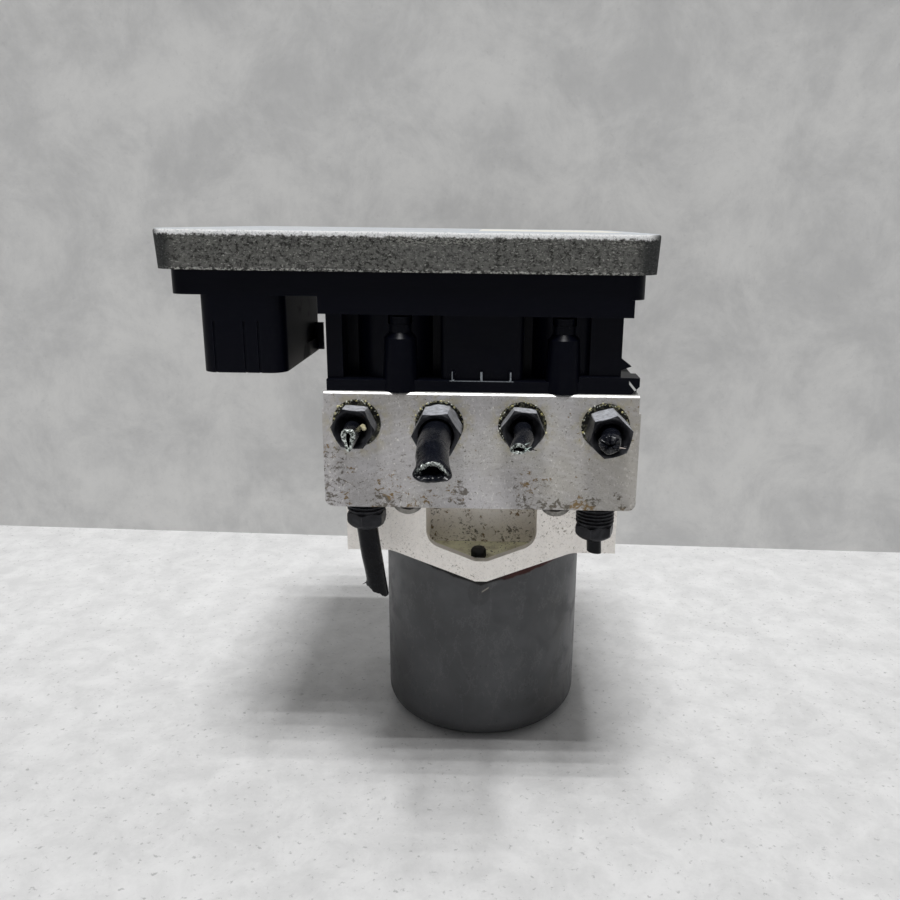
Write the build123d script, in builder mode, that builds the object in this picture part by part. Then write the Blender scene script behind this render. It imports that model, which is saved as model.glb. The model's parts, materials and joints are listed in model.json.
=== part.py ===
from build123d import *
from math import atan, degrees, radians, sin
import os

# ABS brake module: a machined valve block with its pump motor below, the control unit and its cover plate on
# top, six pipe nuts and the cut ends of the brake pipes.
# Frame, in millimetres: the origin is the centre of the motor's flat end, +Z is up, the ports face -Y.

os.makedirs("parts", exist_ok=True)

# ---------------------------------------------------------------- fits
fit_gap = 0.05          # radial gap of a pressed or screwed piece
run_gap = 0.05          # radial gap of a piece that slides or turns
seat_gap = 0.3          # gap between pieces that only lie beside each other
air_gap = 0.6           # gap between the spinning rotor and what stands round it
overrun = 1.0           # how far a cut runs past the face it starts from

# ---------------------------------------------------------------- pump motor
can_radius = 37.3
can_wall = 2.0
can_height = 70.4
can_edge_radius = 6.5
can_rim_width = 8.6             # rim rolled inward at the top
end_plate_thickness = 2.0
end_plate_ear_reach = 3.7       # motor screws, left and right of the can
end_plate_ear_radius = 4.6
motor_screw_radius = 2.0
motor_screw_head_radius = 3.2
motor_screw_head_height = 3.0
motor_screw_grip = 7.5          # thread length in the block
shaft_radius = 4.0
shaft_chamfer = 0.5
shaft_start = 4.0               # lower end of the shaft above the can's flat end
bush_radius = 8.0
bush_length = 5.0
bearing_radius = 9.5
bearing_length = 5.0
core_air = 4.25                 # magnets to the rotor core
core_start = 13.0
core_slots = 12
core_slot_width = 2.6
core_slot_depth = 5.0
magnet_thickness = 6.0
magnet_arc = 150.0
commutator_radius = 11.0
commutator_length = 9.0
commutator_lift = 3.0           # above the core
commutator_gap = 6.4            # commutator to the shaft bearing
brush_length = 9.0
brush_width = 6.0
brush_height = 5.0
brush_plate_thickness = 2.5
lead_radius = 1.0
lead_spacing = 4.4
lead_inset = 1.7                # behind the can's rim
lead_hole_radius = 5.0
vent_radius = 2.7
vent_height = 3.5
vent_dome_radius = 1.6
vent_x = -1.0
vent_inset = 3.8                # behind the can's front
motor_seal_width = 0.35
motor_seal_drop = 3.4           # how far the seal hangs below the motor seat

# ---------------------------------------------------------------- pump
eccentric_offset = 0.8
eccentric_radius = 6.5
eccentric_length = 9.0
eccentric_bearing_radius = 11.0
cavity_radius = 15.0
cavity_height = 27.6
pump_axis_rise = 18.6           # pump axis above the motor seat
pump_piston_radius = 4.0
pump_piston_length = 18.0
pump_tip_chamfer = 1.0
pump_plug_radius = 8.0
pump_plug_length = 9.5
pump_plug_socket = 3.0          # half width of the hexagon socket
cam_clearance = 0.1             # piston tip to the outermost point of the eccentric's orbit

# ---------------------------------------------------------------- valve block
block_side_margin = 0.4         # sides of the block beyond the motor's ears
block_front = 74.4              # ports face ahead of the motor axis
seat_clearance = 0.5            # round the can
seat_wall = 3.3                 # least wall in front of the seat and behind it
slab_above_seat = 32.1
slab_height = 34.7
slab_corner_radius = 2.3
shoulder_height = 5.2           # upper band of the sides, cut back a little
shoulder_depth = 0.6
top_edge_chamfer = 0.5          # along the top of the ports face
ear_above_seat = 4.9            # underside of the outer ears
v_drop = 6.4                    # tip of the V below the motor seat
v_tip_width = 4.0
ear_width = 14.8                # outer ears, outside the V
v_blend_radius = 10.0
seat_boss_rim = 1.4
window_half_width = 18.9
window_tip_rise = 1.1           # lowest edge of the window above the motor seat
window_side_rise = 7.8
window_tip_width = 4.0
window_corner_radius = 6.5
pocket_back_wall = 4.4          # between the pocket and the eccentric's chamber
mount_x = 25.1
mount_above_seat = 23.8
mount_radius = 4.6
mount_depth = 14.0
mount_chamfer = 1.2

# ---------------------------------------------------------------- front ports: x, thread, nut, pipe
port_above_slab_bottom = 25.5
port_depth = 15.0
spotface_radius = 7.0
spotface_depth = 1.0
thread_m10 = 5.0
thread_m12 = 6.0
hex_m10 = 12.7 / 2              # corner radius, also of the M12 nuts under the block
hex_m12 = 13.86 / 2
hex_chamfer = 2.1               # length of the turned corners along the nut
hex_face_share = 0.84           # flat of the outer face, as a share of the corner radius
nut_thread_length = 11.0
nut_mouth_depth = 2.6
nut_mouth_extra = 0.9
pipe_inset = 9.0                # pipe end inside the block
pipe_wall = 0.8
crush_bend_share = 0.4          # sideways shift half way along the crushed length, as a share

# name: place in the row, thread radius, hexagon corner radius, hexagon turn, face height, hexagon length,
# pipe radius, share of the pipe that is still round, pipe length beyond the nut, sideways shift, half width
# and half height of the crushed end
front_ports = {
    1: (-1.5, thread_m10, hex_m10, -4, 8.0, 7.0, 2.4, 0.4, 15.0, 1.5, 1.25, 2.9),
    2: (-0.5, thread_m12, hex_m12, 3, 14.0, 12.0, 4.3, 0.62, 35.0, 1.5, 4.75, 2.1),
    3: (0.5, thread_m10, hex_m10, -6, 7.0, 6.2, 2.7, 0.4, 20.3, -1.0, 2.6, 1.4),
    4: (1.5, thread_m10, hex_m10, 16, 13.0, 11.5, 3.3, 0.4, 8.0, -0.8, 3.4, 3.0),
}

# ---------------------------------------------------------------- ports under the block
low_port_inset = 10.0           # from the sides of the block
low_port_setback = 14.0         # behind the ports face
low_port_depth = 14.0
low_spotface_radius = 7.8
# side: hexagon top below the slab, hexagon length, hexagon turn, pipe radius, pipe length, sideways lean,
# slant of the cut
low_ports = {
    "left": (-1, 6.0, 5.2, 36, 3.3, 22.1, 3.3, 30),
    "right": (1, 9.1, 4.75, 46, 2.3, 4.75, 0.4, 8),
}

# ---------------------------------------------------------------- accumulators
accumulator_x = 13.5
accumulator_y = 57.0
accumulator_radius = 9.5
accumulator_depth = 17.0
accumulator_cap_thickness = 2.6
accumulator_cap_inset = 0.8
accumulator_piston_length = 5.5
accumulator_groove_rise = 1.9
accumulator_groove_depth = 1.2
spring_wire_radius = 0.55
spring_radius = 7.0
spring_turns = 2.5

# ---------------------------------------------------------------- valves and coils
valve_pitch_x = 18.5
valve_columns = 4
inlet_row_y = -43.0
outlet_row_y = -21.0
valve_body_radius = 5.6
valve_depth = 18.0
sleeve_radius = 4.7
sleeve_wall = 0.8
sleeve_rise = 17.5              # above the block
armature_length = 12.0
armature_travel = 0.3
stop_gap = 0.05
coil_radius = 8.6
coil_height = 14.5
coil_lift = 1.2

# ---------------------------------------------------------------- control unit housing
body_left = -44.7
body_right = 40.1
body_front = -70.7
body_back_wall = 6.0            # between the coil room and the back of the body
body_height = 22.1              # block to step
step_left = -46.1
step_right = 42.4
step_height = 4.9
flange_left = -87.9
flange_right = 45.7
flange_front = -74.4
flange_back_reach = 2.0         # behind the body
flange_height = 6.9
flange_corner_radius = 5.0
housing_wall = 2.6
base_height = 3.3
base_front = -72.6
base_right = 45.4
base_tip_cut = 2.4
recess_left = -40.1             # outer ends of the recesses
recess_right = 31.0
recess_inner = 12.0
recess_depth = 9.0
panel_corner_radius = 2.0       # middle panel
bulge_x = 25.8
bulge_radius = 11.4
bulge_y = -58.9
boss_x = 23.5
boss_inset = 1.1                # boss axis behind the wall it stands at
boss_headroom = 3.0             # for the screw head above the boss
boss_top_radius = 3.2
boss_collar_height = 2.2        # top collar above the shoulder
boss_shoulder_height = 1.6
boss_shoulder_radius = 4.6
boss_base_radius = 5.3
screw_radius = 2.2
screw_head_radius = 2.9
screw_head_height = 2.2
screw_grip = 13.0
rib_pitch = 8.2
rib_width = 0.7
rib_height = 2.6
rib_depth = 2.0
base_end_left = 28.0            # the base is higher from here to its right end
base_end_height = 4.9
base_end_depth = 8.0
hook_rise = 6.8                 # underside of the hook beside the body, above the block
hook_height = 3.4
hook_reach = 3.0
coil_room_front = -59.0
lead_room = 4.0                 # coil room behind the motor lead
web_thickness = 2.4
board_floor = 2.2               # floor of the shallow board room
board_thickness = 1.6
board_gap = 0.4
seal_width = 1.6
seal_height = 1.2

# ---------------------------------------------------------------- connector shroud
shroud_left = -80.0
shroud_right = -56.0
shroud_front = -74.4
shroud_back = -24.0
shroud_height = 21.9
shroud_wall = 1.9
shroud_corner_radius = 4.5
shroud_root = 3.0               # solid root under the flange
groove_width = 0.8
groove_depth = 0.5
groove_height = 14.7
groove_x = (-75.5, -67.0, -63.0)
latch_slot_height = 5.2
latch_slot_length = 20.0
latch_slot_depth = 1.0
latch_slot_rise = 4.4
latch_lip_width = 1.8
latch_lip_height = 9.0
latch_lip_thickness = 1.2
latch_lip_rise = 0.2            # above the shroud's mouth
pin_pitch_x = 4.0
pin_pitch_y = 2.9
pin_columns = 4
pin_rows = 9
pin_width = 0.64
pin_tip_inset = 6.7             # pin tips behind the shroud's mouth
blade_width = 6.0
blade_thickness = 0.8
blade_place = 16.5              # from the shroud's middle, in front and behind

# ---------------------------------------------------------------- cover plate
plate_left = -92.3
plate_right = 49.5
plate_front = -77.2
plate_back_reach = 3.0          # behind the flange
plate_height = 10.9
plate_draft = 0.6
plate_corner_radius = 9.0
plate_edge_radius = 0.9
plate_wall = 3.0                # over the board room
cover_seal_inset = 0.7
cover_seal_height = 0.8

# ---------------------------------------------------------------- parts on the circuit board: x, y, size
chips = ((0.0, -30.0, 16.0), (-28.0, 8.0, 12.0), (16.0, 14.0, 10.0))
chip_height = 1.6
capacitors = ((-66.0, -10.0), (-66.0, 0.0), (-66.0, 10.0))
capacitor_radius = 4.0
capacitor_height = 7.0

# ---------------------------------------------------------------- places that follow from the sizes
end_plate_ear_x = can_radius + end_plate_ear_reach
can_rim_radius = can_radius - can_rim_width
magnet_radius = can_radius - can_wall - fit_gap
core_radius = magnet_radius - magnet_thickness - core_air
core_length = (
    can_height - bearing_length - commutator_gap - commutator_length - commutator_lift - core_start
)
lead_y = can_rim_radius - lead_inset
vent_y = vent_inset - can_radius
seat_radius = can_radius + seat_clearance
seat_boss_radius = seat_radius + seat_boss_rim
rear_front = seat_radius + seat_wall        # front wall of the V-bottomed part
block_back = seat_radius + seat_wall
half_width = end_plate_ear_x + end_plate_ear_radius + block_side_margin
block_width = 2 * half_width
v_half_width = half_width - ear_width
pocket_back = cavity_radius + pocket_back_wall
low_port_x = half_width - low_port_inset
low_port_y = block_front - low_port_setback
port_pitch = 2 * low_port_x / (len(front_ports) - 1)
boss_height = body_height - boss_headroom
coil_room_back = lead_y + lead_room
body_back = coil_room_back + body_back_wall
flange_back = body_back + flange_back_reach
plate_back = flange_back + plate_back_reach

# ---------------------------------------------------------------- heights that follow from the sizes
seat_z = can_height + end_plate_thickness
slab_bottom = seat_z + slab_above_seat
slab_top = slab_bottom + slab_height
body_top = slab_top + body_height
step_top = body_top + step_height
flange_top = step_top + flange_height
plate_top = flange_top + plate_height
ear_z = seat_z + ear_above_seat
v_tip_z = seat_z - v_drop
port_z = slab_bottom + port_above_slab_bottom
pump_z = seat_z + pump_axis_rise
mount_z = seat_z + mount_above_seat
board_z = step_top + board_floor
sides = {"left": -1, "right": 1}
boss_places = [
    (side * boss_x, y)
    for side in sides.values()
    for y in (body_front + boss_inset, body_back - boss_inset)
]


def front(distance):
    """Plane facing the ports side, at a distance ahead of the motor axis: local x is X and local y is Z."""
    return Plane.XZ.offset(distance)


def save(piece, name):
    """Label a finished piece and write it to its own file."""
    piece.part.label = name
    export_step(piece.part, f"parts/{name}.step")


# ================================================================ valve block
with BuildPart() as valve_block:
    # thick front slab that takes the pipes
    with BuildSketch(front(rear_front)):
        with Locations((0, (slab_bottom + slab_top) / 2)):
            slab = Rectangle(block_width, slab_height)
        fillet(slab.vertices().group_by(Axis.Y)[0], slab_corner_radius)
    extrude(amount=block_front - rear_front)
    # V-bottomed rear part over the motor
    with BuildSketch(front(-block_back)) as rear_section:
        with BuildLine():
            Polyline(
                (-half_width, slab_top),
                (-half_width, ear_z),
                (-v_half_width, ear_z),
                (-v_tip_width / 2, v_tip_z),
                (v_tip_width / 2, v_tip_z),
                (v_half_width, ear_z),
                (half_width, ear_z),
                (half_width, slab_top),
                close=True,
            )
        make_face()
        blend = [v for v in rear_section.vertices() if abs(abs(v.X) - v_half_width) < 0.01]
        fillet(blend, v_blend_radius)
    extrude(amount=block_back + rear_front)
    # round seat and screw bosses for the motor
    with BuildSketch(Plane.XY.offset(seat_z)):
        Circle(seat_boss_radius)
        with Locations((-end_plate_ear_x, 0), (end_plate_ear_x, 0)):
            Circle(end_plate_ear_radius)
    extrude(amount=slab_above_seat)
    # seat cut from below, which leaves only the lips of the V in front and behind
    with BuildSketch(Plane.XY.offset(v_tip_z)):
        Circle(seat_radius)
    extrude(amount=v_drop, mode=Mode.SUBTRACT)
    # shoulders along the top of the sides
    with BuildSketch(Plane.XY.offset(slab_top)):
        with Locations((-half_width, 0), (half_width, 0)):
            Rectangle(2 * shoulder_depth, 2 * (block_front + block_back))
    extrude(amount=-shoulder_height, mode=Mode.SUBTRACT)
    top_edge = valve_block.edges().filter_by(Axis.X).sort_by_distance(Vertex(0, -block_front, slab_top))[0]
    chamfer(top_edge, top_edge_chamfer)
    # window through the front lip, then the pocket behind it down to the motor seat
    with BuildSketch(front(rear_front)) as window:
        with BuildLine():
            Polyline(
                (-window_half_width, slab_bottom),
                (-window_half_width, seat_z + window_side_rise),
                (-window_tip_width / 2, seat_z + window_tip_rise),
                (window_tip_width / 2, seat_z + window_tip_rise),
                (window_half_width, seat_z + window_side_rise),
                (window_half_width, slab_bottom),
                close=True,
            )
        make_face()
        low_corners = [
            v for v in window.vertices()
            if abs(abs(v.X) - window_half_width) < 0.01 and v.Y < slab_bottom - overrun
        ]
        fillet(low_corners, window_corner_radius)
    extrude(amount=-(rear_front - pocket_back), mode=Mode.SUBTRACT)
    with BuildSketch(front(pocket_back)):
        with Locations((0, (seat_z + slab_bottom) / 2)):
            Rectangle(2 * window_half_width, slab_above_seat)
    extrude(amount=seat_radius - pocket_back, mode=Mode.SUBTRACT)
    # eccentric's chamber and the hole for the motor lead
    with BuildSketch(Plane.XY.offset(seat_z)):
        Circle(cavity_radius)
    extrude(amount=cavity_height, mode=Mode.SUBTRACT)
    with BuildSketch(Plane.XY.offset(seat_z)):
        with Locations((0, lead_y)):
            Circle(lead_hole_radius)
    extrude(amount=slab_top - seat_z, mode=Mode.SUBTRACT)
    # pump bores from both sides
    for side in (-1, 1):
        side_plane = Plane(origin=(side * half_width, 0, pump_z), x_dir=(0, 1, 0), z_dir=(side, 0, 0))
        with Locations(Location(side_plane)):
            CounterBoreHole(
                pump_piston_radius + run_gap,
                pump_plug_radius + fit_gap,
                pump_plug_length,
                half_width,
            )
    # front ports with their spotfaces
    for row_place, thread_radius, *_ in front_ports.values():
        port_plane = Plane(
            origin=(row_place * port_pitch, -block_front, port_z), x_dir=(1, 0, 0), z_dir=(0, -1, 0)
        )
        with Locations(Location(port_plane)):
            CounterBoreHole(thread_radius, spotface_radius, spotface_depth, port_depth)
    # ports, accumulator bores and mounting bores
    for side in (-1, 1):
        low_plane = Plane(
            origin=(side * low_port_x, -low_port_y, slab_bottom), x_dir=(1, 0, 0), z_dir=(0, 0, -1)
        )
        with Locations(Location(low_plane)):
            CounterBoreHole(thread_m12, low_spotface_radius, spotface_depth, low_port_depth)
        accumulator_plane = Plane(
            origin=(side * accumulator_x, -accumulator_y, slab_bottom), x_dir=(1, 0, 0), z_dir=(0, 0, -1)
        )
        with Locations(Location(accumulator_plane)):
            Hole(accumulator_radius + run_gap, accumulator_depth)
        mount_plane = Plane(
            origin=(side * mount_x, -rear_front, mount_z), x_dir=(1, 0, 0), z_dir=(0, -1, 0)
        )
        with Locations(Location(mount_plane)):
            Hole(mount_radius, mount_depth)
        mouth = valve_block.edges().filter_by(GeomType.CIRCLE).sort_by_distance(
            Vertex(side * mount_x, -rear_front, mount_z - mount_radius)
        )[0]
        chamfer(mouth, mount_chamfer)
        # thread holes of the motor screws
        screw_plane = Plane(
            origin=(side * end_plate_ear_x, 0, seat_z), x_dir=(1, 0, 0), z_dir=(0, 0, -1)
        )
        with Locations(Location(screw_plane)):
            Hole(motor_screw_radius + fit_gap, motor_screw_grip + overrun)
    # valve bores and the thread holes of the housing screws
    with BuildSketch(Plane.XY.offset(slab_top)):
        with Locations((0, (inlet_row_y + outlet_row_y) / 2)):
            with GridLocations(valve_pitch_x, outlet_row_y - inlet_row_y, valve_columns, 2):
                Circle(valve_body_radius + fit_gap)
    extrude(amount=-valve_depth, mode=Mode.SUBTRACT)
    with BuildSketch(Plane.XY.offset(slab_top)):
        with Locations(*boss_places):
            Circle(screw_radius + fit_gap)
    extrude(amount=-screw_grip, mode=Mode.SUBTRACT)
save(valve_block, "valve_block")

# ================================================================ pump motor
with BuildPart() as motor_can:
    Cylinder(can_radius, can_height, align=(Align.CENTER, Align.CENTER, Align.MIN))
    fillet(motor_can.edges().group_by(Axis.Z)[0], can_edge_radius)
    with BuildSketch(Plane.XY.offset(can_wall)):
        Circle(can_radius - can_wall)
    extrude(amount=can_height - can_wall, mode=Mode.SUBTRACT)
    inner_rim = motor_can.faces().filter_by(GeomType.PLANE).sort_by(Axis.Z)[1].edges()
    fillet(inner_rim, can_edge_radius - can_wall)
    # rim rolled inward under the end plate
    with BuildSketch(Plane.XY.offset(can_height)):
        Circle(can_radius - can_wall / 2)
        Circle(can_rim_radius, mode=Mode.SUBTRACT)
    extrude(amount=-can_wall)
save(motor_can, "motor_can")

with BuildPart() as motor_end_plate:
    with BuildSketch(Plane.XY.offset(can_height)):
        Circle(can_radius)
        with Locations((-end_plate_ear_x, 0), (end_plate_ear_x, 0)):
            Circle(end_plate_ear_radius)
        Rectangle(2 * end_plate_ear_x, 2 * end_plate_ear_radius)
        Circle(shaft_radius + air_gap, mode=Mode.SUBTRACT)
        with Locations((-end_plate_ear_x, 0), (end_plate_ear_x, 0)):
            Circle(motor_screw_radius + fit_gap, mode=Mode.SUBTRACT)
        with Locations((0, lead_y)):
            Circle(lead_hole_radius - overrun, mode=Mode.SUBTRACT)
    extrude(amount=end_plate_thickness)
    # collar that holds the shaft bearing
    with BuildSketch(Plane.XY.offset(can_height)):
        Circle(bearing_radius + can_wall)
        Circle(bearing_radius + fit_gap, mode=Mode.SUBTRACT)
    extrude(amount=-bearing_length)
save(motor_end_plate, "motor_end_plate")

with BuildPart() as shaft_bearing:
    with BuildSketch(Plane.XY.offset(can_height - bearing_length)):
        Circle(bearing_radius)
        Circle(shaft_radius + run_gap, mode=Mode.SUBTRACT)
    extrude(amount=bearing_length)
save(shaft_bearing, "shaft_bearing")

with BuildPart() as rear_bush:
    with BuildSketch(Plane.XY.offset(can_wall)):
        Circle(bush_radius)
    extrude(amount=bush_length)
    with BuildSketch(Plane.XY.offset(can_wall + bush_length)):
        Circle(shaft_radius + run_gap)
    extrude(amount=-(can_wall + bush_length - shaft_start + seat_gap), mode=Mode.SUBTRACT)
save(rear_bush, "rear_bush")

shaft_top = pump_z + eccentric_length / 2
with BuildPart() as rotor_shaft:
    with BuildSketch(Plane.XY.offset(shaft_start)):
        Circle(shaft_radius)
    extrude(amount=pump_z - eccentric_length / 2 - shaft_start)
    with BuildSketch(Plane.XY.offset(pump_z - eccentric_length / 2)):
        with Locations((0, eccentric_offset)):
            Circle(eccentric_radius)
    extrude(amount=eccentric_length)
    chamfer(rotor_shaft.faces().sort_by(Axis.Z)[0].edges(), shaft_chamfer)
save(rotor_shaft, "rotor_shaft")

with BuildPart() as eccentric_bearing:
    with BuildSketch(Plane.XY.offset(pump_z - eccentric_length / 2)):
        with Locations((0, eccentric_offset)):
            Circle(eccentric_bearing_radius)
            Circle(eccentric_radius + fit_gap, mode=Mode.SUBTRACT)
    extrude(amount=eccentric_length)
save(eccentric_bearing, "eccentric_bearing")

slot_centre = core_radius - core_slot_depth / 2
with BuildPart() as rotor_core:
    with BuildSketch(Plane.XY.offset(core_start)):
        Circle(core_radius)
        Circle(shaft_radius + fit_gap, mode=Mode.SUBTRACT)
        with PolarLocations(slot_centre, core_slots):
            Rectangle(core_slot_depth + overrun, core_slot_width, mode=Mode.SUBTRACT)
    extrude(amount=core_length)
save(rotor_core, "rotor_core")

commutator_z = core_start + core_length + commutator_lift
with BuildPart() as commutator:
    with BuildSketch(Plane.XY.offset(commutator_z)):
        Circle(commutator_radius)
        Circle(shaft_radius + fit_gap, mode=Mode.SUBTRACT)
    extrude(amount=commutator_length)
save(commutator, "commutator")

with BuildPart() as magnets:
    with BuildSketch(Plane.XY.offset(core_start)):
        Circle(magnet_radius)
        Circle(magnet_radius - magnet_thickness, mode=Mode.SUBTRACT)
        # gaps between the two shells, left and right
        Rectangle(
            2 * can_radius,
            2 * magnet_radius * sin(radians((180 - magnet_arc) / 2)),
            mode=Mode.SUBTRACT,
        )
    extrude(amount=core_length)
save(magnets, "magnets")

with BuildPart() as brushes:
    with BuildSketch(Plane.XY.offset(commutator_z + (commutator_length - brush_height) / 2)):
        brush_x = commutator_radius + run_gap + brush_length / 2
        with Locations((-brush_x, 0), (brush_x, 0)):
            Rectangle(brush_length, brush_width)
    extrude(amount=brush_height)
save(brushes, "brushes")

brush_plate_z = commutator_z + (commutator_length + brush_height) / 2
with BuildPart() as brush_plate:
    with BuildSketch(Plane.XY.offset(brush_plate_z)):
        Circle(magnet_radius)
        Circle(commutator_radius + air_gap, mode=Mode.SUBTRACT)
        with Locations((0, lead_y)):
            with GridLocations(lead_spacing, 1, 2, 1):
                Circle(lead_radius + fit_gap, mode=Mode.SUBTRACT)
    extrude(amount=brush_plate_thickness)
save(brush_plate, "brush_plate")

with BuildPart() as motor_lead:
    with BuildSketch(Plane.XY.offset(brush_plate_z)):
        with Locations((0, lead_y)):
            with GridLocations(lead_spacing, 1, 2, 1):
                Circle(lead_radius)
    extrude(amount=board_z - brush_plate_z)
save(motor_lead, "motor_lead")

with BuildPart() as motor_screws:
    with BuildSketch(Plane.XY.offset(can_height)):
        with Locations((-end_plate_ear_x, 0), (end_plate_ear_x, 0)):
            Circle(motor_screw_head_radius)
    extrude(amount=-motor_screw_head_height)
    with BuildSketch(Plane.XY.offset(can_height)):
        with Locations((-end_plate_ear_x, 0), (end_plate_ear_x, 0)):
            Circle(motor_screw_radius)
    extrude(amount=end_plate_thickness + motor_screw_grip)
save(motor_screws, "motor_screws")

with BuildPart() as vent_plug:
    with BuildSketch(Plane.XY.offset(seat_z)):
        with Locations((vent_x, vent_y)):
            Circle(vent_radius)
    extrude(amount=vent_height)
    fillet(vent_plug.faces().sort_by(Axis.Z)[-1].edges(), vent_dome_radius)
save(vent_plug, "vent_plug")

with BuildPart() as motor_seal:
    with BuildSketch(Plane.XY.offset(can_height)):
        Circle(can_radius + fit_gap + motor_seal_width)
        Circle(can_radius + fit_gap, mode=Mode.SUBTRACT)
    extrude(amount=end_plate_thickness - motor_seal_drop)
save(motor_seal, "motor_seal")

# ================================================================ pump
piston_tip = eccentric_bearing_radius + eccentric_offset + cam_clearance
for name, side in sides.items():
    piston_plane = Plane(origin=(side * piston_tip, 0, pump_z), x_dir=(0, 1, 0), z_dir=(side, 0, 0))
    with BuildPart() as pump_piston:
        with BuildSketch(piston_plane):
            Circle(pump_piston_radius)
        extrude(amount=pump_piston_length)
        # crowned tip that rides on the eccentric's bearing
        tip = pump_piston.faces().filter_by(GeomType.PLANE).sort_by(Axis.X)[-1 if side < 0 else 0]
        chamfer(tip.edges(), pump_tip_chamfer)
    save(pump_piston, f"pump_piston_{name}")

    plug_plane = Plane(origin=(side * half_width, 0, pump_z), x_dir=(0, 1, 0), z_dir=(side, 0, 0))
    with BuildPart() as pump_plug:
        with BuildSketch(plug_plane):
            Circle(pump_plug_radius)
        extrude(amount=-(pump_plug_length - fit_gap))
        with BuildSketch(plug_plane):
            RegularPolygon(pump_plug_socket, 6)
        extrude(amount=-pump_plug_length / 2, mode=Mode.SUBTRACT)
    save(pump_plug, f"pump_plug_{name}")

# ================================================================ front pipe nuts and their cut pipes
for number, port in front_ports.items():
    (row_place, thread_radius, hex_radius, hex_turn, face_height, hex_length,
     pipe_radius, round_share, pipe_length, pipe_shift, crush_width, crush_height) = port
    port_x = row_place * port_pitch
    face_distance = block_front + face_height
    pipe_hole = pipe_radius + fit_gap
    outward = Plane(origin=(port_x, -face_distance, port_z), x_dir=(1, 0, 0), z_dir=(0, 0, -1))
    with BuildPart() as port_nut:
        with BuildSketch(front(face_distance)):
            with Locations((port_x, port_z)):
                RegularPolygon(hex_radius, 6, rotation=hex_turn)
        extrude(amount=-hex_length)
        # corners of the hexagon turned off at the outer face
        with BuildSketch(outward):
            with BuildLine():
                Polyline(
                    (hex_radius * hex_face_share, 0),
                    (hex_radius + overrun, 0),
                    (hex_radius + overrun, -hex_chamfer),
                    close=True,
                )
            make_face()
        revolve(axis=Axis((port_x, 0, port_z), (0, -1, 0)), mode=Mode.SUBTRACT)
        # thread, which reaches into the block
        with BuildSketch(front(face_distance - hex_length)):
            with Locations((port_x, port_z)):
                Circle(thread_radius - fit_gap)
        extrude(amount=-(face_height - hex_length + nut_thread_length))
        # bore for the pipe, wider at its mouth
        with BuildSketch(front(face_distance)):
            with Locations((port_x, port_z)):
                Circle(pipe_hole)
        extrude(amount=-(face_height + nut_thread_length), mode=Mode.SUBTRACT)
        with BuildSketch(front(face_distance)):
            with Locations((port_x, port_z)):
                Circle(pipe_hole + nut_mouth_extra)
        with BuildSketch(front(face_distance - nut_mouth_depth)):
            with Locations((port_x, port_z)):
                Circle(pipe_hole)
        loft(mode=Mode.SUBTRACT)
    save(port_nut, f"port_nut_{number}")

    # the pipe stays round near the nut and is crushed flat where it was cut
    round_end = face_distance + pipe_length * round_share
    crushed_end = face_distance + pipe_length
    crush_middle = (round_end + crushed_end) / 2
    with BuildPart() as port_pipe:
        with BuildSketch(front(block_front - pipe_inset)):
            with Locations((port_x, port_z)):
                Circle(pipe_radius)
        extrude(amount=round_end - block_front + pipe_inset)
        with BuildSketch(front(round_end)):
            with Locations((port_x, port_z)):
                Circle(pipe_radius)
        with BuildSketch(front(crush_middle)):
            with Locations((port_x + pipe_shift * crush_bend_share, port_z)):
                Ellipse((pipe_radius + crush_width) / 2, (pipe_radius + crush_height) / 2)
        with BuildSketch(front(crushed_end)):
            with Locations((port_x + pipe_shift, port_z)):
                Ellipse(crush_width, crush_height)
        loft(ruled=True)
        # bore
        with BuildSketch(front(block_front - pipe_inset)):
            with Locations((port_x, port_z)):
                Circle(pipe_radius - pipe_wall)
        extrude(amount=round_end - block_front + pipe_inset, mode=Mode.SUBTRACT)
        with BuildSketch(front(round_end)):
            with Locations((port_x, port_z)):
                Circle(pipe_radius - pipe_wall)
        with BuildSketch(front(crush_middle)):
            with Locations((port_x + pipe_shift * crush_bend_share, port_z)):
                Ellipse(
                    (pipe_radius + crush_width) / 2 - pipe_wall,
                    (pipe_radius + crush_height) / 2 - pipe_wall,
                )
        with BuildSketch(front(crushed_end)):
            with Locations((port_x + pipe_shift, port_z)):
                Ellipse(crush_width - pipe_wall, crush_height - pipe_wall)
        loft(ruled=True, mode=Mode.SUBTRACT)
    save(port_pipe, f"port_pipe_{number}")

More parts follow.
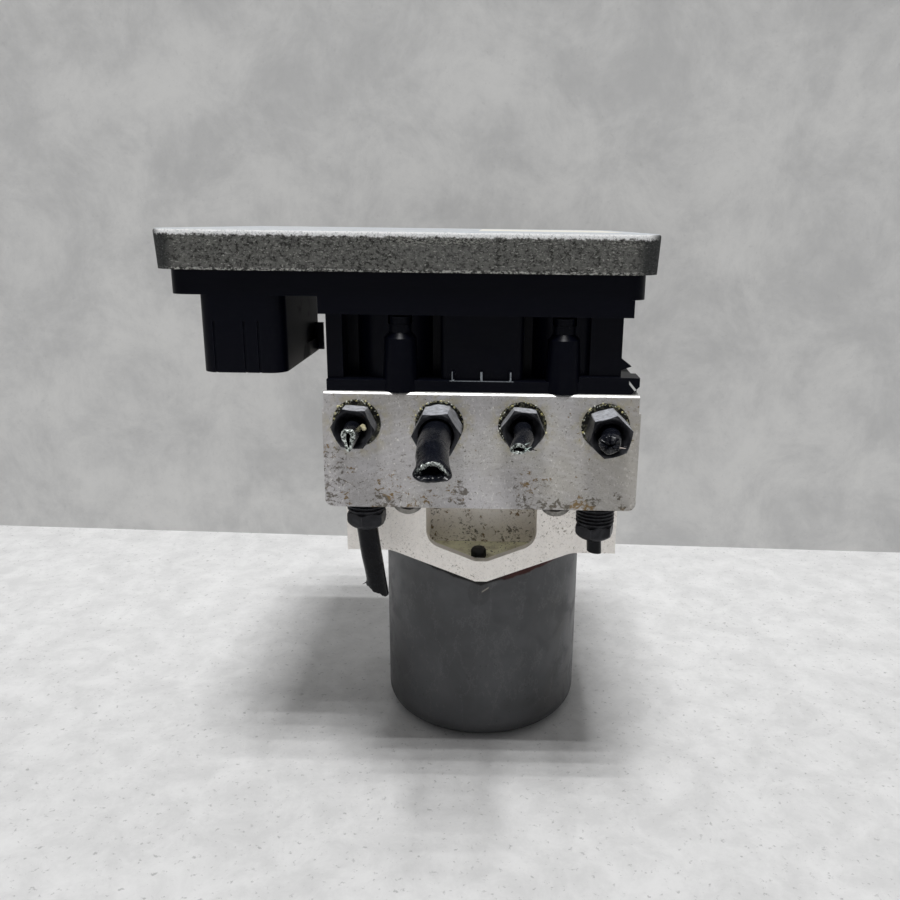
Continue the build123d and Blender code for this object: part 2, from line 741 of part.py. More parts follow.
# ================================================================ nuts and pipes under the block
for name, port in low_ports.items():
    side, thread_shown, hex_length, hex_turn, pipe_radius, pipe_length, pipe_lean, cut_slant = port
    port_x = side * low_port_x
    hex_top = slab_bottom - thread_shown
    hex_bottom = hex_top - hex_length
    thread_top = slab_bottom + low_port_depth - thread_shown
    pipe_hole = pipe_radius + fit_gap
    with BuildPart() as inlet_nut:
        with BuildSketch(Plane.XY.offset(hex_bottom)):
            with Locations((port_x, -low_port_y)):
                RegularPolygon(hex_m10, 6, rotation=hex_turn)
        extrude(amount=hex_length)
        # corners of the hexagon turned off at the lower face
        with BuildSketch(Plane.XZ.offset(low_port_y)):
            with BuildLine():
                Polyline(
                    (port_x + hex_m10 * hex_face_share, hex_bottom),
                    (port_x + hex_m10 + overrun, hex_bottom),
                    (port_x + hex_m10 + overrun, hex_bottom + hex_chamfer),
                    close=True,
                )
            make_face()
        revolve(axis=Axis((port_x, -low_port_y, hex_bottom), (0, 0, 1)), mode=Mode.SUBTRACT)
        with BuildSketch(Plane.XY.offset(hex_top)):
            with Locations((port_x, -low_port_y)):
                Circle(thread_m12 - fit_gap)
        extrude(amount=thread_top - hex_top)
        with BuildSketch(Plane.XY.offset(hex_bottom)):
            with Locations((port_x, -low_port_y)):
                Circle(pipe_hole)
        extrude(amount=thread_top - hex_bottom, mode=Mode.SUBTRACT)
    save(inlet_nut, f"inlet_nut_{name}")

    end_z = hex_bottom - pipe_length
    end_x = port_x + pipe_lean
    with BuildPart() as inlet_pipe:
        with BuildSketch(Plane.XY.offset(hex_bottom)):
            with Locations((port_x, -low_port_y)):
                Circle(pipe_radius)
        extrude(amount=thread_top - hex_bottom)
        # the free end leans sideways
        lean_length = Vector(pipe_lean, 0, pipe_length + pipe_radius).length
        lean_way = (pipe_lean, 0, -(pipe_length + pipe_radius))
        with BuildSketch(Plane.XY.offset(hex_bottom)):
            with Locations((port_x, -low_port_y)):
                Circle(pipe_radius)
        extrude(amount=lean_length, dir=lean_way)
        with BuildSketch(Plane.XY.offset(thread_top)):
            with Locations((port_x, -low_port_y)):
                Circle(pipe_radius - pipe_wall)
        extrude(amount=hex_bottom - thread_top, mode=Mode.SUBTRACT)
        with BuildSketch(Plane.XY.offset(hex_bottom)):
            with Locations((port_x, -low_port_y)):
                Circle(pipe_radius - pipe_wall)
        extrude(amount=lean_length, dir=lean_way, mode=Mode.SUBTRACT)
        # slanted cut of the cutter
        slant = radians(cut_slant)
        split(
            bisect_by=Plane(
                origin=(end_x, -low_port_y, end_z),
                x_dir=(0, 1, 0),
                z_dir=(sin(slant), 0, (1 - sin(slant) ** 2) ** 0.5),
            ),
            keep=Keep.TOP,
        )
    save(inlet_pipe, f"inlet_pipe_{name}")

# ================================================================ accumulators
cap_bottom = slab_bottom + accumulator_cap_inset
cap_top = cap_bottom + accumulator_cap_thickness
piston_top = slab_bottom + accumulator_depth - seat_gap
piston_bottom = piston_top - accumulator_piston_length
for name, side in sides.items():
    centre = (side * accumulator_x, -accumulator_y)
    with BuildPart() as accumulator_cap:
        with BuildSketch(Plane.XY.offset(cap_bottom)):
            with Locations(centre):
                Circle(accumulator_radius)
        extrude(amount=accumulator_cap_thickness)
        with BuildSketch(Plane.XY.offset(cap_bottom)):
            with Locations(centre):
                Circle(accumulator_radius - 2 * accumulator_cap_inset)
        extrude(amount=accumulator_cap_inset, mode=Mode.SUBTRACT)
    save(accumulator_cap, f"accumulator_cap_{name}")

    with BuildPart() as accumulator_piston:
        with BuildSketch(Plane.XY.offset(piston_bottom)):
            with Locations(centre):
                Circle(accumulator_radius)
        extrude(amount=accumulator_piston_length)
        chamfer(accumulator_piston.faces().sort_by(Axis.Z)[-1].edges(), accumulator_cap_inset)
        # seal groove
        with BuildSketch(Plane.XY.offset(piston_bottom + accumulator_groove_rise)):
            with Locations(centre):
                Circle(accumulator_radius)
                Circle(accumulator_radius - accumulator_groove_depth, mode=Mode.SUBTRACT)
        extrude(amount=seal_width, mode=Mode.SUBTRACT)
    save(accumulator_piston, f"accumulator_piston_{name}")

    spring_height = piston_bottom - cap_top - 2 * spring_wire_radius - 2 * fit_gap
    spring_base = (centre[0], centre[1], cap_top + fit_gap + spring_wire_radius)
    with BuildPart() as accumulator_spring:
        with BuildLine() as coil_line:
            Helix(
                pitch=spring_height / spring_turns,
                height=spring_height,
                radius=spring_radius,
                center=spring_base,
            )
        with BuildSketch(Plane(origin=coil_line.line @ 0, z_dir=coil_line.line % 0)):
            RegularPolygon(spring_wire_radius, 6)
        sweep(is_frenet=True)
    save(accumulator_spring, f"accumulator_spring_{name}")

# ================================================================ solenoid valves
valve_rows = {"inlet": inlet_row_y, "outlet": outlet_row_y}
valve_bottom = slab_top - valve_depth
sleeve_top = slab_top + sleeve_rise
chamber_radius = sleeve_radius - sleeve_wall
chamber_top = sleeve_top - sleeve_wall
chamber_length = armature_length + armature_travel + 2 * stop_gap
armature_number = 0
for row_name, row_y in valve_rows.items():
    with BuildPart() as valves:
        with BuildSketch(Plane.XY.offset(valve_bottom)):
            with Locations((0, row_y)):
                with GridLocations(valve_pitch_x, 1, valve_columns, 1):
                    Circle(valve_body_radius)
        extrude(amount=valve_depth)
        with BuildSketch(Plane.XY.offset(slab_top)):
            with Locations((0, row_y)):
                with GridLocations(valve_pitch_x, 1, valve_columns, 1):
                    Circle(sleeve_radius)
        extrude(amount=sleeve_rise)
        chamfer(valves.edges().group_by(Axis.Z)[-1], sleeve_wall)
        with BuildSketch(Plane.XY.offset(chamber_top)):
            with Locations((0, row_y)):
                with GridLocations(valve_pitch_x, 1, valve_columns, 1):
                    Circle(chamber_radius)
        extrude(amount=-chamber_length, mode=Mode.SUBTRACT)
    save(valves, f"{row_name}_valves")

    with BuildPart() as coils:
        with BuildSketch(Plane.XY.offset(slab_top + coil_lift)):
            with Locations((0, row_y)):
                with GridLocations(valve_pitch_x, 1, valve_columns, 1):
                    Circle(coil_radius)
                    Circle(sleeve_radius + seat_gap / 2, mode=Mode.SUBTRACT)
        extrude(amount=coil_height)
    save(coils, f"{row_name}_coils")

    # an inlet armature rests at the top of its chamber, an outlet armature on its seat
    rest_gap = stop_gap + (armature_travel if row_name == "inlet" else 0)
    for column in range(valve_columns):
        armature_number += 1
        column_x = (column - (valve_columns - 1) / 2) * valve_pitch_x
        with BuildPart() as armature:
            with BuildSketch(Plane.XY.offset(chamber_top - chamber_length + rest_gap)):
                with Locations((column_x, row_y)):
                    Circle(chamber_radius - run_gap)
            extrude(amount=armature_length)
        save(armature, f"armature_{armature_number}")

# ================================================================ control unit housing
boss_top = slab_top + boss_height
room_left = body_left + housing_wall
room_right = body_right - housing_wall
board_left = flange_left + housing_wall
board_right = flange_right - housing_wall
board_front = flange_front + housing_wall
board_back = flange_back - housing_wall
board_corner = flange_corner_radius - housing_wall
shroud_mid = ((shroud_left + shroud_right) / 2, (shroud_front + shroud_back) / 2)


def span(low_x, high_x, low_y, high_y, corner=0.0, mode=Mode.ADD):
    """Rectangle between two corners, in the sketch that is open."""
    with Locations(((low_x + high_x) / 2, (low_y + high_y) / 2)):
        if corner:
            RectangleRounded(high_x - low_x, high_y - low_y, corner, mode=mode)
        else:
            Rectangle(high_x - low_x, high_y - low_y, mode=mode)


def flange_ring(inset, mode=Mode.ADD):
    """Outline of the housing's flange, moved inwards by the inset."""
    span(flange_left + inset, flange_right - inset, flange_front + inset, flange_back - inset,
         flange_corner_radius - inset, mode)


with BuildPart() as ecu_housing:
    with BuildSketch(Plane.XY.offset(slab_top)):
        span(body_left, body_right, body_front, body_back)
    extrude(amount=body_height)
    # recesses between the coil walls, in front and behind
    with BuildSketch(Plane.XY.offset(slab_top + base_height)):
        for ends in ((recess_left, -recess_inner), (recess_inner, recess_right)):
            span(*ends, body_front - overrun, body_front + recess_depth)
            span(*ends, body_back - recess_depth, body_back + overrun)
    extrude(amount=body_height - base_height, mode=Mode.SUBTRACT)
    panel_edges = [
        edge for edge in ecu_housing.edges().filter_by(Axis.Z)
        if abs(abs(edge.center().X) - recess_inner) < 0.01
        and (edge.center().Y < body_front + 0.01 or edge.center().Y > body_back - 0.01)
    ]
    fillet(panel_edges, panel_corner_radius)
    with BuildSketch(Plane.XY.offset(slab_top)):
        with Locations(*[(side * bulge_x, bulge_y) for side in (-1, 1)]):
            Circle(bulge_radius)
        with Locations(*[(side * bulge_x, body_front + body_back - bulge_y) for side in (-1, 1)]):
            Circle(bulge_radius)
    extrude(amount=body_height)
    # base flange on the block, higher at its right end, and a small hook above that end
    with BuildSketch(Plane.XY.offset(slab_top)):
        span(body_left, base_right, base_front, body_back + body_front - base_front)
    extrude(amount=base_height)
    with BuildSketch(Plane.XY.offset(slab_top)):
        span(base_end_left, base_right, base_front, base_front + base_end_depth)
    extrude(amount=base_end_height)
    with BuildSketch(front(-body_front)):
        with BuildLine():
            Polyline(
                (body_right - overrun, slab_top + hook_rise),
                (body_right, slab_top + hook_rise),
                (body_right + hook_reach, slab_top + hook_rise + hook_height / 3),
                (body_right, slab_top + hook_rise + hook_height),
                (body_right - overrun, slab_top + hook_rise + hook_height),
                close=True,
            )
        make_face()
    extrude(amount=-housing_wall)
    # broken corner of the base flange
    with BuildSketch(front(-base_front)):
        with BuildLine():
            Polyline(
                (base_right, slab_top),
                (base_right, slab_top + base_tip_cut),
                (base_right - base_tip_cut, slab_top),
                close=True,
            )
        make_face()
    extrude(amount=-2 * base_tip_cut, mode=Mode.SUBTRACT)
    # step and flange
    with BuildSketch(Plane.XY.offset(body_top)):
        span(step_left, step_right, flange_front, flange_back - overrun)
    extrude(amount=step_height)
    with BuildSketch(Plane.XY.offset(step_top)):
        span(flange_left, flange_right, flange_front, flange_back, flange_corner_radius)
    extrude(amount=flange_height)
    # screw bosses, tapered up to a thin collar, with room for the screw heads above them
    collar_z = boss_top - boss_collar_height
    for boss_axis_x, boss_axis_y in boss_places:
        with BuildSketch(Plane.XZ.offset(-boss_axis_y)):
            with BuildLine():
                Polyline(
                    (boss_axis_x, slab_top),
                    (boss_axis_x + boss_base_radius, slab_top),
                    (boss_axis_x + boss_shoulder_radius, collar_z - boss_shoulder_height),
                    (boss_axis_x + boss_top_radius, collar_z),
                    (boss_axis_x + boss_top_radius, boss_top),
                    (boss_axis_x, boss_top),
                    close=True,
                )
            make_face()
        revolve(axis=Axis((boss_axis_x, boss_axis_y, slab_top), (0, 0, 1)))
    with BuildSketch(Plane.XY.offset(boss_top)):
        with Locations(*boss_places):
            Circle(boss_top_radius + seat_gap)
    extrude(amount=body_height - boss_height, mode=Mode.SUBTRACT)
    with BuildSketch(Plane.XY.offset(slab_top)):
        with Locations(*boss_places):
            Circle(screw_radius + fit_gap)
    extrude(amount=boss_height, mode=Mode.SUBTRACT)
    # three small ribs on the foot of the middle panel
    with BuildSketch(Plane.XY.offset(slab_top + base_height)):
        with Locations((0, body_front)):
            with GridLocations(rib_pitch, 1, 3, 1):
                Rectangle(rib_width, 2 * rib_depth)
    extrude(amount=rib_height)
    # connector shroud under the left end of the flange
    with BuildSketch(Plane.XY.offset(step_top)):
        span(shroud_left, shroud_right, shroud_front, shroud_back, shroud_corner_radius)
    extrude(amount=-shroud_height)
    with BuildSketch(Plane.XY.offset(step_top - shroud_height)):
        span(
            shroud_left + shroud_wall, shroud_right - shroud_wall,
            shroud_front + shroud_wall, shroud_back - shroud_wall,
            shroud_corner_radius - shroud_wall,
        )
    extrude(amount=shroud_height - shroud_root, mode=Mode.SUBTRACT)
    with BuildSketch(Plane.XY.offset(step_top - shroud_height)):
        with Locations(*[(x, shroud_front) for x in groove_x]):
            Rectangle(groove_width, 2 * groove_depth)
    extrude(amount=groove_height, mode=Mode.SUBTRACT)
    # slot and lip for the plug's latch on the right side of the shroud
    slot_z = step_top - shroud_height + latch_slot_rise + latch_slot_height / 2
    with BuildSketch(Plane.YZ.offset(shroud_right)):
        with Locations((shroud_back - latch_slot_length / 2 - latch_lip_width, slot_z)):
            SlotOverall(latch_slot_length, latch_slot_height)
    extrude(amount=-latch_slot_depth, mode=Mode.SUBTRACT)
    with BuildSketch(Plane.XY.offset(step_top - shroud_height + latch_lip_rise)):
        span(
            shroud_right - shroud_wall, shroud_right + latch_lip_width,
            shroud_back - shroud_corner_radius, shroud_back - shroud_corner_radius + latch_lip_thickness,
        )
    extrude(amount=latch_lip_height)
    # coil room, open towards the block
    with BuildSketch(Plane.XY.offset(slab_top)):
        span(room_left, room_right, coil_room_front, coil_room_back)
    extrude(amount=body_height, mode=Mode.SUBTRACT)
    # board room, open towards the cover: deep over the body, shallow over the shroud
    with BuildSketch(Plane.XY.offset(body_top + web_thickness)):
        span(room_left, room_right, board_front, board_back)
    extrude(amount=flange_top - body_top - web_thickness, mode=Mode.SUBTRACT)
    with BuildSketch(Plane.XY.offset(board_z)):
        span(board_left, board_right, board_front, board_back, board_corner)
    extrude(amount=flange_top - board_z, mode=Mode.SUBTRACT)
    # passages for the motor lead and the connector pins
    with BuildSketch(Plane.XY.offset(body_top)):
        with Locations((0, lead_y)):
            Rectangle(lead_spacing + 4 * lead_radius, 4 * lead_radius)
    extrude(amount=web_thickness, mode=Mode.SUBTRACT)
    with BuildSketch(Plane.XY.offset(board_z)):
        with Locations(shroud_mid):
            with GridLocations(pin_pitch_x, pin_pitch_y, pin_columns, pin_rows):
                Rectangle(pin_width + 2 * fit_gap, pin_width + 2 * fit_gap)
            with GridLocations(1, 2 * blade_place, 1, 2):
                Rectangle(blade_width + 2 * fit_gap, blade_thickness + 2 * fit_gap)
    extrude(amount=-(board_floor + shroud_root), mode=Mode.SUBTRACT)
    # seats of the two seals
    with BuildSketch(Plane.XY.offset(slab_top)):
        span(room_left - seal_width, room_right + seal_width,
             coil_room_front - seal_width, coil_room_back + seal_width)
    extrude(amount=seal_height, mode=Mode.SUBTRACT)
    with BuildSketch(Plane.XY.offset(flange_top)):
        flange_ring(cover_seal_inset)
        flange_ring(cover_seal_inset + seal_width - fit_gap, Mode.SUBTRACT)
    extrude(amount=-cover_seal_height, mode=Mode.SUBTRACT)
save(ecu_housing, "ecu_housing")

with BuildPart() as housing_seal:
    with BuildSketch(Plane.XY.offset(slab_top)):
        span(room_left - seal_width + fit_gap, room_right + seal_width - fit_gap,
             coil_room_front - seal_width + fit_gap, coil_room_back + seal_width - fit_gap)
        span(room_left, room_right, coil_room_front, coil_room_back, mode=Mode.SUBTRACT)
    extrude(amount=seal_height)
save(housing_seal, "housing_seal")

with BuildPart() as housing_screws:
    with BuildSketch(Plane.XY.offset(boss_top)):
        with Locations(*boss_places):
            Circle(screw_head_radius)
    extrude(amount=screw_head_height)
    with BuildSketch(Plane.XY.offset(boss_top)):
        with Locations(*boss_places):
            Circle(screw_radius)
    extrude(amount=-(boss_height + screw_grip - seat_gap))
save(housing_screws, "housing_screws")

with BuildPart() as connector_pins:
    with BuildSketch(Plane.XY.offset(board_z)):
        with Locations(shroud_mid):
            with GridLocations(pin_pitch_x, pin_pitch_y, pin_columns, pin_rows):
                Rectangle(pin_width, pin_width)
            with GridLocations(1, 2 * blade_place, 1, 2):
                Rectangle(blade_width, blade_thickness)
    extrude(amount=-(board_floor + shroud_height - pin_tip_inset))
save(connector_pins, "connector_pins")

with BuildPart() as circuit_board:
    with BuildSketch(Plane.XY.offset(board_z)):
        span(board_left + board_gap, board_right - board_gap, board_front + board_gap,
             board_back - board_gap, board_corner)
    extrude(amount=board_thickness)
save(circuit_board, "circuit_board")

with BuildPart() as board_parts:
    with BuildSketch(Plane.XY.offset(board_z + board_thickness)):
        for chip_x, chip_y, chip_size in chips:
            with Locations((chip_x, chip_y)):
                Rectangle(chip_size, chip_size)
    extrude(amount=chip_height)
    with BuildSketch(Plane.XY.offset(board_z + board_thickness)):
        with Locations(*capacitors):
            Circle(capacitor_radius)
    extrude(amount=capacitor_height)
save(board_parts, "board_parts")

with BuildPart() as cover_seal:
    with BuildSketch(Plane.XY.offset(flange_top)):
        flange_ring(cover_seal_inset + fit_gap)
        flange_ring(cover_seal_inset + seal_width - 2 * fit_gap, Mode.SUBTRACT)
    extrude(amount=-(cover_seal_height - fit_gap))
save(cover_seal, "cover_seal")

# ================================================================ cover plate
with BuildPart() as cover_plate:
    with BuildSketch(Plane.XY.offset(flange_top)):
        span(
            plate_left + plate_draft, plate_right - plate_draft,
            plate_front + plate_draft, plate_back - plate_draft,
            plate_corner_radius - plate_draft,
        )
    extrude(amount=plate_height, taper=-degrees(atan(plate_draft / plate_height)))
    fillet(cover_plate.faces().sort_by(Axis.Z)[-1].edges(), plate_edge_radius)
    with BuildSketch(Plane.XY.offset(flange_top)):
        span(board_left, board_right, board_front, board_back, board_corner)
    extrude(amount=plate_height - plate_wall, mode=Mode.SUBTRACT)
save(cover_plate, "cover_plate")
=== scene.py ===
# %% [markdown]
# # An anti-lock brake module, dressed for a render
#
# The solids of the module come from CAD. This notebook gives them their finishes, adds the small forms that
# CAD leaves out, such as screw threads, torn pipe ends and crumbs of residue, and sets up light and camera.
# Every length is in metres, and +Z is up. The origin is the middle of the motor's flat end.

# %% Load the solids
import json
import math
import random

import bmesh
import bpy
from mathutils import Matrix, Vector, noise


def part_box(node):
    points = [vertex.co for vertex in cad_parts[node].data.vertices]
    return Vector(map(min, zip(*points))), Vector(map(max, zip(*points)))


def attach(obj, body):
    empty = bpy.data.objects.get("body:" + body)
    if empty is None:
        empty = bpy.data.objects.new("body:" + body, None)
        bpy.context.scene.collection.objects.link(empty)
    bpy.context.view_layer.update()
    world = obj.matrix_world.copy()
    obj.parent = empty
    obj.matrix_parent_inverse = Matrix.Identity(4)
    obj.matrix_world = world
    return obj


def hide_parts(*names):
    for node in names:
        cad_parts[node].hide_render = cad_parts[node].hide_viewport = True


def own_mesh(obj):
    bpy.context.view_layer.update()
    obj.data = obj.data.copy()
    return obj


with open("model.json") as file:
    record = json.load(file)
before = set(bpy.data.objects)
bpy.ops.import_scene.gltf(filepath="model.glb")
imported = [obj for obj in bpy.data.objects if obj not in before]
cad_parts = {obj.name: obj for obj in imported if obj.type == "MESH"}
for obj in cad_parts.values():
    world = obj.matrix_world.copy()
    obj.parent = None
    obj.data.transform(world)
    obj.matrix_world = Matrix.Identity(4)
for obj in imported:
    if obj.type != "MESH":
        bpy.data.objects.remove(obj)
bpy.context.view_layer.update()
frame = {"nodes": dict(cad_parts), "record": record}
MM = 0.001

# %% [markdown]
# ## Laying out shader nodes
#
# A finish is a small graph of nodes. Wiring each one by hand takes many lines, so a few helpers lay down
# the nodes that come back in every finish: a noise pattern, a soft threshold and a mix of two colours. Each
# helper returns the socket that carries its result, so that calls can be nested like a sentence. A socket
# knows the tree that it belongs to, so only helpers that are given no socket ask for the tree.

# %% Placing and wiring nodes


def feed(socket, value):
    """Sets a socket, or wires it where the value comes out of another node. A colour gets its alpha here."""
    if isinstance(value, bpy.types.NodeSocket):
        socket.id_data.links.new(value, socket)
    elif socket.type == "RGBA" and not isinstance(value, (int, float)):
        socket.default_value = (*value, 1.0)
    else:
        socket.default_value = value


def tree_of(*values):
    """The node tree that the first socket among the values belongs to."""
    return next(value.id_data for value in values if isinstance(value, bpy.types.NodeSocket))


def lay(tree, kind, **settings):
    """Adds a node. A setting with a socket's name sets or wires it, and any other is the node's own."""
    node = tree.nodes.new(kind)
    for key, value in settings.items():
        socket = node.inputs.get(key.replace("_", " ").title())
        if socket is None:
            setattr(node, key, value)
        else:
            feed(socket, value)
    return node


def place_on(tree, stretch=(1, 1, 1), shift=(0, 0, 0), turn=(0, 0, 0)):
    """Coordinates of the object, moved, turned and stretched."""
    where = lay(tree, "ShaderNodeTexCoord").outputs["Object"]
    moved = lay(tree, "ShaderNodeMapping", vector=where, location=shift, rotation=turn, scale=stretch)
    return moved.outputs[0]


def xyz(where):
    """The three parts of a place or a direction, by name."""
    return lay(tree_of(where), "ShaderNodeSeparateXYZ", vector=where).outputs


def off_axis(tree, across, height, squeeze=1.0):
    """Distance from a line that runs from front to back. The height counts in the squeezed measure."""
    centred = place_on(tree, (1, 0, squeeze), (-across, 0, -height))
    return lay(tree, "ShaderNodeVectorMath", operation="LENGTH", vector=centred).outputs["Value"]


def grain(where, scale, detail=3.0, rough=0.6, warp=0.0):
    """Cloudy noise from 0 to 1."""
    noisy = lay(tree_of(where), "ShaderNodeTexNoise", vector=where, scale=scale, detail=detail)
    feed(noisy.inputs["Roughness"], rough)
    feed(noisy.inputs["Distortion"], warp)
    return noisy.outputs["Fac"]

# %% [markdown]
# ### Masks and arithmetic
#
# A mask says where a mark lies: 1 inside it, 0 outside, and a short slope at its rim. Masks are made with
# soft thresholds, cut to shape by multiplying, and joined by taking the larger.

# %% Masks and arithmetic


def between(value, low, high, start=0.0, end=1.0):
    """Soft threshold: start where the value is below low, end where it is above high."""
    node = lay(tree_of(value), "ShaderNodeMapRange", interpolation_type="SMOOTHSTEP", value=value)
    for name, limit in (("From Min", low), ("From Max", high), ("To Min", start), ("To Max", end)):
        feed(node.inputs[name], limit)
    return node.outputs[0]


def calculate(operation, *values):
    """Arithmetic on one or two values."""
    node = lay(tree_of(*values), "ShaderNodeMath", operation=operation)
    for socket, value in zip(node.inputs, values):
        feed(socket, value)
    return node.outputs[0]


def times(first, *others):
    """Product of all the values."""
    for other in others:
        first = calculate("MULTIPLY", first, other)
    return first


def plus(first, second):
    """Sum of two values."""
    return calculate("ADD", first, second)


def minus(first, second):
    """What is left of the first value without the second."""
    return calculate("SUBTRACT", first, second)


def larger(first, second):
    """The larger of two values."""
    return calculate("MAXIMUM", first, second)


def off(value, middle=0.0):
    """How far a value lies from a middle one, to either side."""
    return calculate("ABSOLUTE", minus(value, middle))


def within(value, middle, inner, outer):
    """1 where a value is nearer than inner to a middle one, 0 beyond outer."""
    return between(off(value, middle), outer, inner)


def sway(noisy, width):
    """Noise that swings to both sides of 0, over a width."""
    return times(minus(noisy, 0.5), width)

# %% [markdown]
# ### Colours and materials
#
# Every finish is one Principled shader. Its fixed values are set on the shader's own sockets, and what
# varies over the surface is wired in afterwards.

# %% Colours and materials
finishes = {}


def blend_colours(mask, below, above, share=1.0):
    """One colour where the mask is 0, and a share of the other laid over it where the mask is 1."""
    if share != 1.0:
        mask = times(mask, share)
    node = lay(tree_of(mask), "ShaderNodeMix", data_type="RGBA")
    for socket, value in zip((node.inputs["Factor"], node.inputs[6], node.inputs[7]), (mask, below, above)):
        feed(socket, value)
    return node.outputs[2]


def shade(value, low, high, dark, light):
    """Goes from one colour to another while a value passes from low to high."""
    return blend_colours(between(value, low, high), dark, light)


def relief(height, strength, depth):
    """Normal of a surface that a height pattern makes uneven."""
    return lay(tree_of(height), "ShaderNodeBump", height=height, strength=strength, distance=depth).outputs[0]


def new_finish(name, colour, roughness, metallic=0.0, gloss=0.5):
    """Makes a material and gives its tree and its shader."""
    finish = bpy.data.materials.new(name)
    finish.use_nodes = True
    finishes[name] = finish
    shader = finish.node_tree.nodes["Principled BSDF"]
    shader.inputs["Base Color"].default_value = (*colour, 1.0)
    shader.inputs["Roughness"].default_value = roughness
    shader.inputs["Metallic"].default_value = metallic
    shader.inputs["Specular IOR Level"].default_value = gloss
    return finish.node_tree, shader


def wire(shader, **sockets):
    """Connects results to the shader's sockets."""
    for key, value in sockets.items():
        feed(shader.inputs[key.replace("_", " ").title()], value)

# %% [markdown]
# ## Effects that several finishes share
#
# Bare metal, plastic and plating all show the same few signs of use: rubbed corners, blotches of dirt,
# small pits and fine scratches. Each sign is a node group with its own inputs, built once here. A finish
# then asks for it with its own values, and only colours, masks and heights come out, so the shader stays in
# the material.

# %% Start a node group


def new_effect(name, output, **inputs):
    """An empty group with float inputs after its Vector, and one float output."""
    group = bpy.data.node_groups.new(name, "ShaderNodeTree")
    group.interface.new_socket(name="Vector", in_out="INPUT", socket_type="NodeSocketVector")
    for key, value in inputs.items():
        socket = group.interface.new_socket(name=key.title(), in_out="INPUT", socket_type="NodeSocketFloat")
        socket.default_value = value
    group.interface.new_socket(name=output, in_out="OUTPUT", socket_type="NodeSocketFloat")
    way_in = group.nodes.new("NodeGroupInput")
    way_out = group.nodes.new("NodeGroupOutput")
    return group, way_in.outputs, way_out.inputs[0]


def effect(group, where, **values):
    """Places a shared effect in a finish and gives its result."""
    node = lay(tree_of(where), "ShaderNodeGroup", node_tree=group)
    feed(node.inputs["Vector"], where)
    for key, value in values.items():
        feed(node.inputs[key.title()], value)
    return node.outputs[0]


def facing(tree):
    """The direction that the surface faces."""
    return lay(tree, "ShaderNodeNewGeometry").outputs["Normal"]

# %% [markdown]
# ### Rubbed corners
#
# Handling wears the plating off corners first. The Bevel node gives the normal that a rounded corner would
# have, and where it turns away from the true normal there is a corner. Noise breaks the line up, as real
# wear does.

# %% Group: rubbed corners
rubbed, entry, result = new_effect("rubbed_corners", "Mask", width=0.0006, breakup=900.0, amount=1.0)
rounded = lay(rubbed, "ShaderNodeBevel", samples=6, radius=entry["Width"]).outputs[0]
same_way = lay(rubbed, "ShaderNodeVectorMath", operation="DOT_PRODUCT")
feed(same_way.inputs[0], rounded)
feed(same_way.inputs[1], facing(rubbed))
corner = between(same_way.outputs["Value"], 0.99, 0.82)
broken = between(grain(entry["Vector"], entry["Breakup"], 4.0, 0.7), 0.38, 0.62)
feed(result, times(corner, broken, entry["Amount"]))

# %% [markdown]
# ### Pits and specks
#
# Road salt leaves aluminium with small round pits that gather in clouds. Voronoi cells give the round
# specks, and a slower noise decides where they gather.

# %% Group: pits
pits, entry, result = new_effect("pits", "Mask", scale=900.0, size=0.28, clouds=60.0, amount=0.5)
cells = lay(pits, "ShaderNodeTexVoronoi", vector=entry["Vector"], scale=entry["Scale"], randomness=1.0)
gathered = between(grain(entry["Vector"], entry["Clouds"], 3.0, 0.65), 0.3, 0.7)
reach = times(gathered, entry["Amount"], entry["Size"])
inside = minus(reach, cells.outputs["Distance"])
feed(result, between(inside, -0.02, 0.06))

# %% [markdown]
# ### Blotches
#
# Dirt, stains and uneven plating are large soft patches with ragged rims. One noise bends the coordinates
# of another, which tears the rims.

# %% Group: blotches
blotches, entry, result = new_effect("blotches", "Mask", scale=40.0, low=0.45, high=0.65, warp=0.6)
patch = grain(entry["Vector"], entry["Scale"], 6.0, 0.62, entry["Warp"])
feed(result, between(patch, entry["Low"], entry["High"]))

# %% [markdown]
# ### Scratches
#
# A scratch is thin and long, so the noise is squeezed across it. The direction comes from the coordinates
# that the finish passes in, already turned.

# %% Group: scratches
scratches, entry, result = new_effect("scratches", "Mask", scale=30.0, thin=0.03, amount=0.5)
off_line = off(grain(entry["Vector"], entry["Scale"], 8.0, 0.72), 0.5)
ridge = minus(1.0, calculate("DIVIDE", off_line, entry["Thin"]))
feed(result, times(between(ridge, 0.0, 1.0), entry["Amount"]))

# %% [markdown]
# ### Milling marks
#
# A face mill leaves arcs, each a tool's width from the last. Rings of a Wave texture round a far centre are
# such arcs, and a little noise keeps them from being perfect.

# %% Group: milling marks
milling, entry, result = new_effect("milling_marks", "Height", scale=500.0, waver=0.6)
rings = lay(
    milling, "ShaderNodeTexWave", wave_type="RINGS", rings_direction="SPHERICAL",
    vector=entry["Vector"], scale=entry["Scale"], distortion=entry["Waver"], detail=2.0,
)
feed(result, rings.outputs["Fac"])

# %% [markdown]
# ### Settled dust and painted top light
#
# Dust and the pale haze of road salt lie on faces that look up. The same pale film also stands in for the
# light that falls on those faces from above, so it is partly painted light. The height part of the surface
# normal finds those faces, and noise makes the film uneven.

# %% Group: settled dust and painted top light
dust_and_top_light, entry, result = new_effect("settled_dust_and_top_light", "Mask", low=0.2, high=0.8, breakup=300.0, amount=0.6)
lying = between(xyz(facing(dust_and_top_light))["Z"], entry["Low"], entry["High"])
thickness = between(grain(entry["Vector"], entry["Breakup"], 5.0, 0.65), 0.25, 0.65, 0.45, 1.0)
feed(result, times(lying, thickness, entry["Amount"]))
print("shared effects:", len(bpy.data.node_groups))
